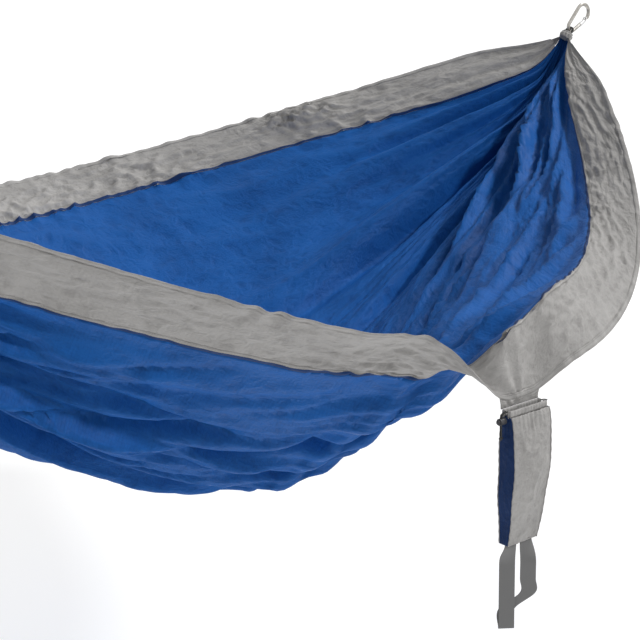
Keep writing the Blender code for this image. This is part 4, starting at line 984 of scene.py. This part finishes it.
class HammockShape(bpy.types.PropertyGroup):
    """Sizes of the cloth's relief."""

    pleat_strength: bpy.props.FloatProperty(
        name="Pleats",
        description="Height of the fanned pleats, as a share of their width",
        default=0.28,
        min=0,
        max=0.4,
    )
    sweep_height: length_property("Long folds", "Height of the long folds of the belly", 0.0060)
    crumple_height: length_property("Crumples", "Height of the small crumples", 0.0017)
    pucker_height: length_property("Puckers", "Height of the puckers beside the sewing", 0.0011)
    cloth_thickness: length_property("Cloth", "Thickness that the cloth is drawn with", 0.0006)
    sack_slack: bpy.props.FloatProperty(
        name="Sack slack", description="How strongly the sack's walls dent", default=1.0, min=0, max=2
    )


def colour_property(name, description, default):
    return bpy.props.FloatVectorProperty(
        name=name, description=description, default=(*default, 1.0), size=4, min=0, max=1, subtype="COLOR"
    )


class HammockColours(bpy.types.PropertyGroup):
    """Colours of the finishes, as linear light."""

    blue: colour_property("Blue", "Centre panel", (0.013, 0.116, 0.415))
    # Deep blue and deep grey: the cloth's random mottle, and the painted shade in the creases between its
    # ridges.
    blue_mottle_and_crease_shade: colour_property("Deep blue", "Centre panel between its ridges", (0.006, 0.054, 0.215))
    grey: colour_property("Grey", "Side panels and sack", (0.440, 0.430, 0.420))
    grey_mottle_and_crease_shade: colour_property("Deep grey", "Side panels between their ridges", (0.235, 0.228, 0.222))
    # Navy is the gussets' own colour; along the seams it is painted shadow, not a binding.
    navy_and_seam_shadow: colour_property("Navy", "Sack's gussets and the seam binding", (0.014, 0.042, 0.140))
    thread: colour_property("Thread", "Stitching", (0.300, 0.290, 0.280))
    webbing: colour_property("Webbing", "Handle of the sack", (0.165, 0.165, 0.168))
    rope: colour_property("Rope", "Rope loops and drawstring", (0.085, 0.085, 0.082))
    metal: colour_property("Metal", "Carabiners", (0.330, 0.315, 0.290))


class HammockOperator:
    """What the operators share: the settings, and one finished result."""

    bl_options = {"REGISTER", "UNDO"}

    def execute(self, context):
        self.build(context.scene.hammock_shape, context.scene.hammock_colours)
        return {"FINISHED"}


def cloth_strip(name, rows, v_values, looks, thickness):
    """A strip of the bed: P(u, v) with its relief, half the thickness to each side of it."""
    u, v = np.meshgrid(rows, v_values, indexing="ij")
    middle = bed_surface(u, v)
    normal = surface_normal(u, v)
    height = cloth_relief(u, v, looks)[..., None]
    half = 0.5 * thickness
    uv = np.stack([APEX_HALF_SPAN * u, v], -1)
    return shell(name, middle + (height + half) * normal, middle + (height - half) * normal, uv)


class HAMMOCK_OT_centre_panel(HammockOperator, bpy.types.Operator):
    """Blue centre panel"""

    bl_idname = "hammock.centre_panel"
    bl_label = "Centre panel"

    def build(self, looks, colours):
        rows, columns = CENTRE_GRID
        inset = SIDE_PANEL_WIDTH + SEAM_WIDTH / 2 - PANEL_LAP
        across = np.linspace(inset, CLOTH_WIDTH - inset, columns)
        cloth = cloth_strip("blue_centre_panel", stations(rows), across, looks, looks.cloth_thickness)
        put(cloth, "bed", finish_named("blue nylon", colours), "blue_cloth", "centre_panel")


class HAMMOCK_OT_side_panels(HammockOperator, bpy.types.Operator):
    """Grey side panels, from hem to seam"""

    bl_idname = "hammock.side_panels"
    bl_label = "Side panels"

    def build(self, looks, colours):
        rows, columns = SIDE_GRID
        low, high = HEM_WIDTH - PANEL_LAP, SIDE_PANEL_WIDTH - SEAM_WIDTH / 2 + PANEL_LAP
        spans = {"near": (low, high), "far": (CLOTH_WIDTH - high, CLOTH_WIDTH - low)}
        for label, (start, end) in spans.items():
            across = np.linspace(start, end, columns)
            cloth = cloth_strip(f"grey_{label}_panel", stations(rows), across, looks, looks.cloth_thickness)
            put(cloth, "bed", finish_named("grey nylon", colours), "grey_cloth", f"{label}_side_panel")


class HAMMOCK_OT_seams(HammockOperator, bpy.types.Operator):
    """Felled seams between the panels, a little thicker than the cloth"""

    bl_idname = "hammock.seams"
    bl_label = "Seams"

    def build(self, looks, colours):
        rows, columns = SEAM_GRID
        along = stations(rows, SEWING_STOP)
        lines = {"near": SIDE_PANEL_WIDTH, "far": CLOTH_WIDTH - SIDE_PANEL_WIDTH}
        for label, line in lines.items():
            across = np.linspace(line - SEAM_WIDTH / 2, line + SEAM_WIDTH / 2, columns)
            strip = cloth_strip(f"{label}_panel_seam_strip", along, across, looks, SEAM_THICKNESS)
            put(strip, "bed", finish_named(f"{label} seam", colours), "grey_stitching", f"{label}_panel_seam")


class HAMMOCK_OT_hems(HammockOperator, bpy.types.Operator):
    """Rolled hems of both free edges"""

    bl_idname = "hammock.hems"
    bl_label = "Hems"

    def build(self, looks, colours):
        u = stations(HEM_ROWS, SEWING_STOP)
        turn = turns(12)
        flat_oval = blunt(np.cos(turn), 0.6) * HEM_WIDTH / 2
        for label, middle in (("near", HEM_WIDTH / 2), ("far", CLOTH_WIDTH - HEM_WIDTH / 2)):
            v = np.full_like(u, middle)
            path = cloth_point(u, v, looks)
            low, high = cloth_point(u, v - HEM_WIDTH / 2, looks), cloth_point(u, v + HEM_WIDTH / 2, looks)
            across = (high - low) / HEM_WIDTH
            spread = np.sqrt(np.linalg.norm(across, axis=-1, keepdims=True).clip(0, 1))
            uneven = 1 + 0.28 * ripples(APEX_HALF_SPAN * u, 0 * u, 0.045, 31)
            thick = HEM_HALF_HEIGHT * uneven[:, None] * spread
            rise = surface_normal(u, v) * thick
            profile = np.stack([flat_oval, np.sin(turn)], -1)
            hem = tube(f"{label}_rolled_hem", path, across, rise, profile, middle + flat_oval)
            put(hem, "bed", finish_named("hem", colours), "grey_stitching", f"{label}_edge_hem")


class HAMMOCK_OT_gathered_ends(HammockOperator, bpy.types.Operator):
    """Bunched cloth and rope loop at each end"""

    bl_idname = "hammock.gathered_ends"
    bl_label = "Gathered ends"

    def build(self, looks, colours):
        for side, label in ((1, "right"), (-1, "left")):
            place = end_frame(side)
            points = bunched_points(place, looks)
            rows, columns = points.shape[:2]
            along = np.linspace(0, BUNDLE_LENGTH, rows)
            around = np.linspace(0, 2 * math.pi * BUNDLE_RADIUS, columns)
            uv = np.stack(np.meshgrid(along, around, indexing="ij"), -1).reshape(-1, 2)
            name, faces = f"{label}_bunched_cloth", tube_faces(rows, columns)
            bunch = outwards(new_mesh_object(name, points.reshape(-1, 3), faces, uv))
            put(bunch, "bed", finish_named("bunched nylon", colours), "grey_cloth", f"{label}_gathered_end")

            turn = turns(72)
            radial = np.stack([np.cos(turn), np.sin(turn), 0 * turn], -1)
            ring = radial * ROPE_LOOP_RADIUS - np.array([ROPE_LOOP_RADIUS, 0, 0])
            profile = round_profile(ROPE_RADIUS, 16)
            up = np.tile(place[:3, 2], (len(turn), 1))
            path, across = in_frame(place, ring), radial @ place[:3, :3].T
            rope = tube(f"{label}_braided_loop", path, across, up, profile, closed=True)
            put(rope, "bed", finish_named("braided rope", colours), "rope", f"{label}_rope_loop")


class HAMMOCK_OT_hardware(HammockOperator, bpy.types.Operator):
    """Finishes of the carabiners and the cord lock"""

    bl_idname = "hammock.hardware"
    bl_label = "Carabiners and cord lock"

    def build(self, looks, colours):
        finishes = {"cord_lock_body": "dark plastic", "cord_lock_button": "dark plastic"}
        finishes["cord_lock_spring"] = "gate steel"
        for label in ("right", "left"):
            finishes[f"{label}_carabiner_body"] = "carabiner metal"
            finishes[f"{label}_carabiner_gate"] = "gate steel"
        for node, finish in finishes.items():
            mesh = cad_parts[node].data
            mesh.materials.clear()
            mesh.materials.append(finish_named(finish, colours))


class HAMMOCK_OT_sack_walls(HammockOperator, bpy.types.Operator):
    """Four slack walls of the sack, its corner seams, tab and base"""

    bl_idname = "hammock.sack_walls"
    bl_label = "Sack walls"

    def build(self, looks, colours):
        start = (CHANNEL_HEIGHT - 0.003) / SACK_HEIGHT
        walls = {
            "front": ("sack_front_panel", "grey nylon", "grey_cloth"),
            "right": ("sack_right_gusset", "gusset nylon", "sack_blue_cloth"),
            "back": ("sack_back_panel", "grey nylon", "grey_cloth"),
            "left": ("sack_left_gusset", "gusset nylon", "sack_blue_cloth"),
        }
        for side, (node, finish, slot) in walls.items():
            wide = side in ("front", "back")
            width, columns = (SACK_WIDTH, 44) if wide else (SACK_FULL_DEPTH, 26)
            down, across = np.linspace(start, 1, WALL_ROWS), np.linspace(0, 1, columns)
            h, a = np.meshgrid(down, across, indexing="ij")
            outer, step = sack_side(h, a, side, looks)
            uv = np.stack([h * SACK_HEIGHT, a * width], -1)
            wall = shell(f"{node}_cloth", outer, outer + WALL_THICKNESS * step, uv)
            put(wall, "stuff_sack", finish_named(finish, colours), slot, node)
        self.build_corner_seams(np.linspace(start, 1, WALL_ROWS), looks, colours)
        self.build_base(colours)
        self.build_tab(looks, colours)

    def build_corner_seams(self, h, looks, colours):
        """Corner seams: a thin round cord of cloth down each corner, a little uneven."""
        profile, turn = round_profile(CORNER_SEAM_RADIUS, 10), turns(10)
        corners = {"front": "front_left", "right": "front_right", "back": "back_right", "left": "back_left"}
        for side, label in corners.items():
            path = sack_side(h, 0 * h, side, looks)[0]
            path = path + CORNER_SEAM_WOBBLE * np.sin(h * 95)[:, None] * np.array([1.0, 0, 0])
            across, up = np.tile([1.0, 0, 0], (len(h), 1)), np.tile([0, 1.0, 0], (len(h), 1))
            seam = tube(f"sack_{label}_seam", path, across, up, profile, 0.004 * turn / math.pi)
            put(seam, "stuff_sack", finish_named("grey nylon", colours), "grey_stitching")

    def build_base(self, colours):
        """Base: a flat panel that sags a little in the middle, by a product of half sines."""
        low, high = (np.array(corner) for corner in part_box("sack_base"))
        s, t = np.meshgrid(np.linspace(0, 1, 24), np.linspace(0, 1, 12), indexing="ij")
        sag = BASE_SAG * np.sin(math.pi * s) * np.sin(math.pi * t)
        x, y = low[0] + (high[0] - low[0]) * s, low[1] + (high[1] - low[1]) * t
        top = np.stack([x, y, high[2] - sag], -1)
        bottom = np.stack([x, y, low[2] + 0.0001 - sag * 0.2], -1)
        base = shell("sack_base_cloth", top, bottom, np.stack([x, y], -1))
        put(base, "stuff_sack", finish_named("grey nylon", colours), "grey_cloth", "sack_base")

    def build_tab(self, looks, colours):
        """Tab: rows of straight lines from the hem's edge to the hinge line, with soft puckers. Its free
        edge laps down behind the channel."""
        origin = sack_origin()
        x = origin[0] + np.linspace(-SACK_WIDTH / 2, SACK_WIDTH / 2, 70)
        u = (x - MIDDLE_X) / APEX_HALF_SPAN
        top = cloth_point(u, 0 * u + 0.0005, looks)
        low = np.stack([x, 0 * x + origin[1], 0 * x + origin[2] - TAB_LAP], -1)
        t = np.linspace(0, 1, 12)[None, :, None]
        middle = top[:, None] * (1 - t) + low[:, None] * t
        pucker = TAB_PUCKER * np.sin(math.pi * t[..., 0]) * ripples(x, 0 * x, 0.014, 71)[:, None]
        middle[..., 1] += pucker + (TAB_THICKNESS + SEWN_GAP) * smoothstep(1.6 * t[..., 0] - 0.6)
        half = np.array([0, TAB_THICKNESS / 2, 0])
        uv = np.stack([x[:, None] + 0 * t[..., 0], t[..., 0] * 0.009 + 0 * x[:, None]], -1)
        tab = shell("sack_tab_cloth", middle - half, middle + half, uv)
        put(tab, "bed", finish_named("hem", colours), "grey_stitching", "sack_tab")


class HAMMOCK_OT_sack_mouth(HammockOperator, bpy.types.Operator):
    """Gathered channel around the sack's mouth"""

    bl_idname = "hammock.sack_mouth"
    bl_label = "Sack mouth"

    def build(self, looks, colours):
        turn = turns(20)
        side, rise = blunt(np.cos(turn), 0.7), blunt(np.sin(turn), 0.7)
        heights = -CHANNEL_HEIGHT / 2 + rise * CHANNEL_HEIGHT / 2
        base = sack_origin() - np.array([0, 0, HINGE_GAP])
        for front_side, label in ((True, "front"), (False, "back")):
            flat = smooth_route([(x, y, 0.0) for x, y in channel_path(front_side)], CHANNEL_STEP)
            ahead = unit(np.gradient(flat, axis=0))
            out = np.stack([-ahead[:, 1], ahead[:, 0], 0 * ahead[:, 0]], -1) * (1 if front_side else -1)
            travel = np.arange(len(flat)) * CHANNEL_STEP
            wave = travel * 2 * math.pi / CHANNEL_PUCKER_PITCH + 1.4 * np.sin(travel * 90)
            pucker = 1 + CHANNEL_PUCKER * np.sin(wave)
            across = out * pucker[:, None]
            up = np.tile([0, 0, 1.0], (len(flat), 1))
            profile = np.stack([side * CHANNEL_DEPTH / 2 * 0.86, heights], -1)
            ring = tube(f"sack_channel_{label}", flat + base, across, up, profile, heights)
            node = f"sack_mouth_channel_{label}"
            put(ring, "stuff_sack", finish_named("channel", colours), "grey_stitching", node)


class HAMMOCK_OT_drawstring(HammockOperator, bpy.types.Operator):
    """Drawstring cord and the knot that ties its tails"""

    bl_idname = "hammock.drawstring"
    bl_label = "Drawstring"

    def build(self, looks, colours):
        route = drawstring_route()
        curve = bpy.data.curves.new("drawstring_cord", "CURVE")
        curve.dimensions = "3D"
        curve.bevel_depth = CORD_RADIUS
        curve.bevel_resolution = 4
        curve.use_fill_caps = True
        spline = curve.splines.new("POLY")
        spline.points.add(len(route) - 1)
        spline.points.foreach_set("co", np.column_stack([route, np.ones(len(route))]).ravel())
        cord = bpy.data.objects.new("drawstring_cord", curve)
        bpy.context.scene.collection.objects.link(cord)
        put(cord, "stuff_sack", finish_named("thin cord", colours), "rope", "sack_drawstring")

        low, high = (np.array(corner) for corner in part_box("drawstring_knot"))
        middle = (low + high) / 2
        t = turns(120)
        loops = [np.sin(t) + 2 * np.sin(2 * t), -np.sin(3 * t) * 1.2, np.cos(t) - 2 * np.cos(2 * t)]
        path = middle + KNOT_SIZE * np.stack(loops, -1)
        before, after = np.roll(path, 1, 0), np.roll(path, -1, 0)
        ahead, bend = unit(after - before), after - 2 * path + before
        bend = unit(bend - np.sum(bend * ahead, -1, keepdims=True) * ahead)
        profile = round_profile(CORD_RADIUS, 12)
        knot = tube("drawstring_tied_knot", path, bend, np.cross(ahead, bend), profile, closed=True)
        put(knot, "stuff_sack", finish_named("braided rope", colours), "rope", "drawstring_knot")


class HAMMOCK_OT_handle(HammockOperator, bpy.types.Operator):
    """Webbing handle under the sack"""

    bl_idname = "hammock.handle"
    bl_label = "Webbing handle"

    def build(self, looks, colours):
        route = handle_stations()
        left, right, front, back = corners_at(1.0)
        middle = np.array([(left + right) / 2, (front + back) / 2, -HINGE_GAP - SACK_HEIGHT]) + sack_origin()
        twist = math.radians(HANDLE_TWIST_DEG) * smoothstep(-route[:, 2] / TWIST_LENGTH)
        across = np.stack([np.cos(twist), np.sin(twist), 0 * twist], -1)
        depth = np.stack([-np.sin(twist), np.cos(twist), 0 * twist], -1)
        rise = np.array([0, 0, 1.0])
        path = middle + route[:, :1] * across + route[:, 1:2] * depth + route[:, 2:] * rise
        step = np.gradient(route, axis=0)
        along = step[:, 1:2] * depth + step[:, 2:] * rise
        flat = np.cross(across, unit(along))
        half, thin = WEBBING_WIDTH / 2, WEBBING_THICKNESS / 2
        corner = np.array([0.0, 0.5, 1.0])
        near = np.stack([half - STRAP_ROUNDING * (1 - corner), -thin * (1 - 0.4 * corner)], -1)
        flat_half = half - 2 * STRAP_ROUNDING
        bottom = np.stack([np.linspace(-flat_half, flat_half, 9), np.full(9, -thin)], -1)
        below = np.concatenate([bottom, near, near[::-1] * np.array([1, -1])])
        profile = np.concatenate([below, -below])
        strap = tube("webbing_strap", path, across, flat, profile, profile[:, 0])
        put(strap, "handle", finish_named("webbing", colours), "webbing", "webbing_handle")


class HAMMOCK_OT_stage(HammockOperator, bpy.types.Operator):
    """Camera, lights, pale floor and background"""

    bl_idname = "hammock.stage"
    bl_label = "Stage"

    def build(self, looks, colours):
        scene = bpy.context.scene
        scene.view_settings.view_transform = "Standard"
        azimuth, elevation, roll = map(math.radians, (VIEW_AZIMUTH_DEG, VIEW_ELEVATION_DEG, VIEW_ROLL_DEG))
        right = Vector((math.cos(azimuth), math.sin(azimuth), 0))
        level = Vector((math.sin(azimuth), -math.cos(azimuth), 0))
        back = math.cos(elevation) * level + math.sin(elevation) * Vector((0, 0, 1))
        up = back.cross(right)
        rolled_right = math.cos(roll) * right + math.sin(roll) * up
        rolled_up = -math.sin(roll) * right + math.cos(roll) * up
        place = Matrix((rolled_right, rolled_up, back)).transposed().to_4x4()
        place.translation = Vector(VIEW_TARGET) + VIEW_DISTANCE * back
        data = bpy.data.cameras.new("camera")
        data.lens, data.sensor_width, data.sensor_fit = VIEW_LENS_MM, VIEW_SENSOR_MM, "HORIZONTAL"
        data.clip_end = 60
        camera = bpy.data.objects.new("camera", data)
        camera.matrix_world = place
        scene.collection.objects.link(camera)
        scene.camera = camera

        floor_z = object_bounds()[0][2] - FLOOR_DEPTH
        corners = [(x * FLOOR_SIZE, y * FLOOR_SIZE, floor_z) for x, y in ((-1, -1), (1, -1), (1, 1), (-1, 1))]
        floor = new_mesh_object("studio_floor", corners, [(0, 1, 2, 3)], smooth=False)
        floor.data.materials.append(pale_material())
        floor.visible_shadow = False
        floor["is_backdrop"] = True

        world = bpy.data.worlds.new("studio_world")
        world.use_nodes = True
        scene.world = world
        tree = world.node_tree
        background = tree.nodes["Background"]
        background.inputs["Color"].default_value = (1, 1, 1, 1)
        wire(tree, lit_share(tree, 1.0, WORLD_STRENGTH), background.inputs["Strength"])
        for name, energy, angle, direction in LAMPS:
            lamp = bpy.data.lights.new(name, "SUN")
            lamp.energy, lamp.angle = energy, math.radians(angle)
            sun = bpy.data.objects.new(name, lamp)
            sun.rotation_euler = Vector(direction).to_track_quat("-Z", "Y").to_euler()
            scene.collection.objects.link(sun)


def lit_share(tree, seen, unseen):
    """One strength for camera, glossy and transmission rays, and another for the light on the object."""
    path = tree.nodes.new("ShaderNodeLightPath")
    rays = larger(tree, path.outputs["Is Camera Ray"], path.outputs["Is Glossy Ray"])
    rays = larger(tree, rays, path.outputs["Is Transmission Ray"])
    return plus(tree, unseen, times(tree, rays, seen - unseen))


def pale_material():
    """Pale floor: a diffuse surface that keeps soft shadows, lifted to white for the camera's rays."""
    material, tree, shader = new_material("pale floor")
    shader.inputs["Roughness"].default_value = 0.9
    shader.inputs["Base Color"].default_value = (0.80, 0.80, 0.80, 1.0)
    shader.inputs["Emission Color"].default_value = (1, 1, 1, 1)
    wire(tree, lit_share(tree, FLOOR_LIFT, 0.0), shader.inputs["Emission Strength"])
    return material


class HAMMOCK_PT_panel(bpy.types.Panel):
    """Sidebar panel with the settings and the operators"""

    bl_idname = "HAMMOCK_PT_panel"
    bl_label = "Camping hammock"
    bl_space_type = "VIEW_3D"
    bl_region_type = "UI"
    bl_category = "Hammock"

    def draw(self, context):
        for settings in (context.scene.hammock_shape, context.scene.hammock_colours):
            for key in settings.__annotations__:
                self.layout.prop(settings, key)
        for operator in OPERATORS:
            self.layout.operator(operator.bl_idname)


OPERATORS = (
    HAMMOCK_OT_stage,
    HAMMOCK_OT_drawstring,
    HAMMOCK_OT_seams,
    HAMMOCK_OT_centre_panel,
    HAMMOCK_OT_side_panels,
    HAMMOCK_OT_hems,
    HAMMOCK_OT_gathered_ends,
    HAMMOCK_OT_hardware,
    HAMMOCK_OT_sack_mouth,
    HAMMOCK_OT_sack_walls,
    HAMMOCK_OT_handle,
)
CLASSES = (HammockShape, HammockColours, *OPERATORS, HAMMOCK_PT_panel)


def register():
    for cls in CLASSES:
        bpy.utils.register_class(cls)
    bpy.types.Scene.hammock_shape = bpy.props.PointerProperty(type=HammockShape)
    bpy.types.Scene.hammock_colours = bpy.props.PointerProperty(type=HammockColours)


def unregister():
    del bpy.types.Scene.hammock_colours
    del bpy.types.Scene.hammock_shape
    for cls in reversed(CLASSES):
        bpy.utils.unregister_class(cls)


def main():
    register()
    for operator in OPERATORS:
        group, name = operator.bl_idname.split(".")
        getattr(getattr(bpy.ops, group), name)()


if __name__ == "__main__":
    main()
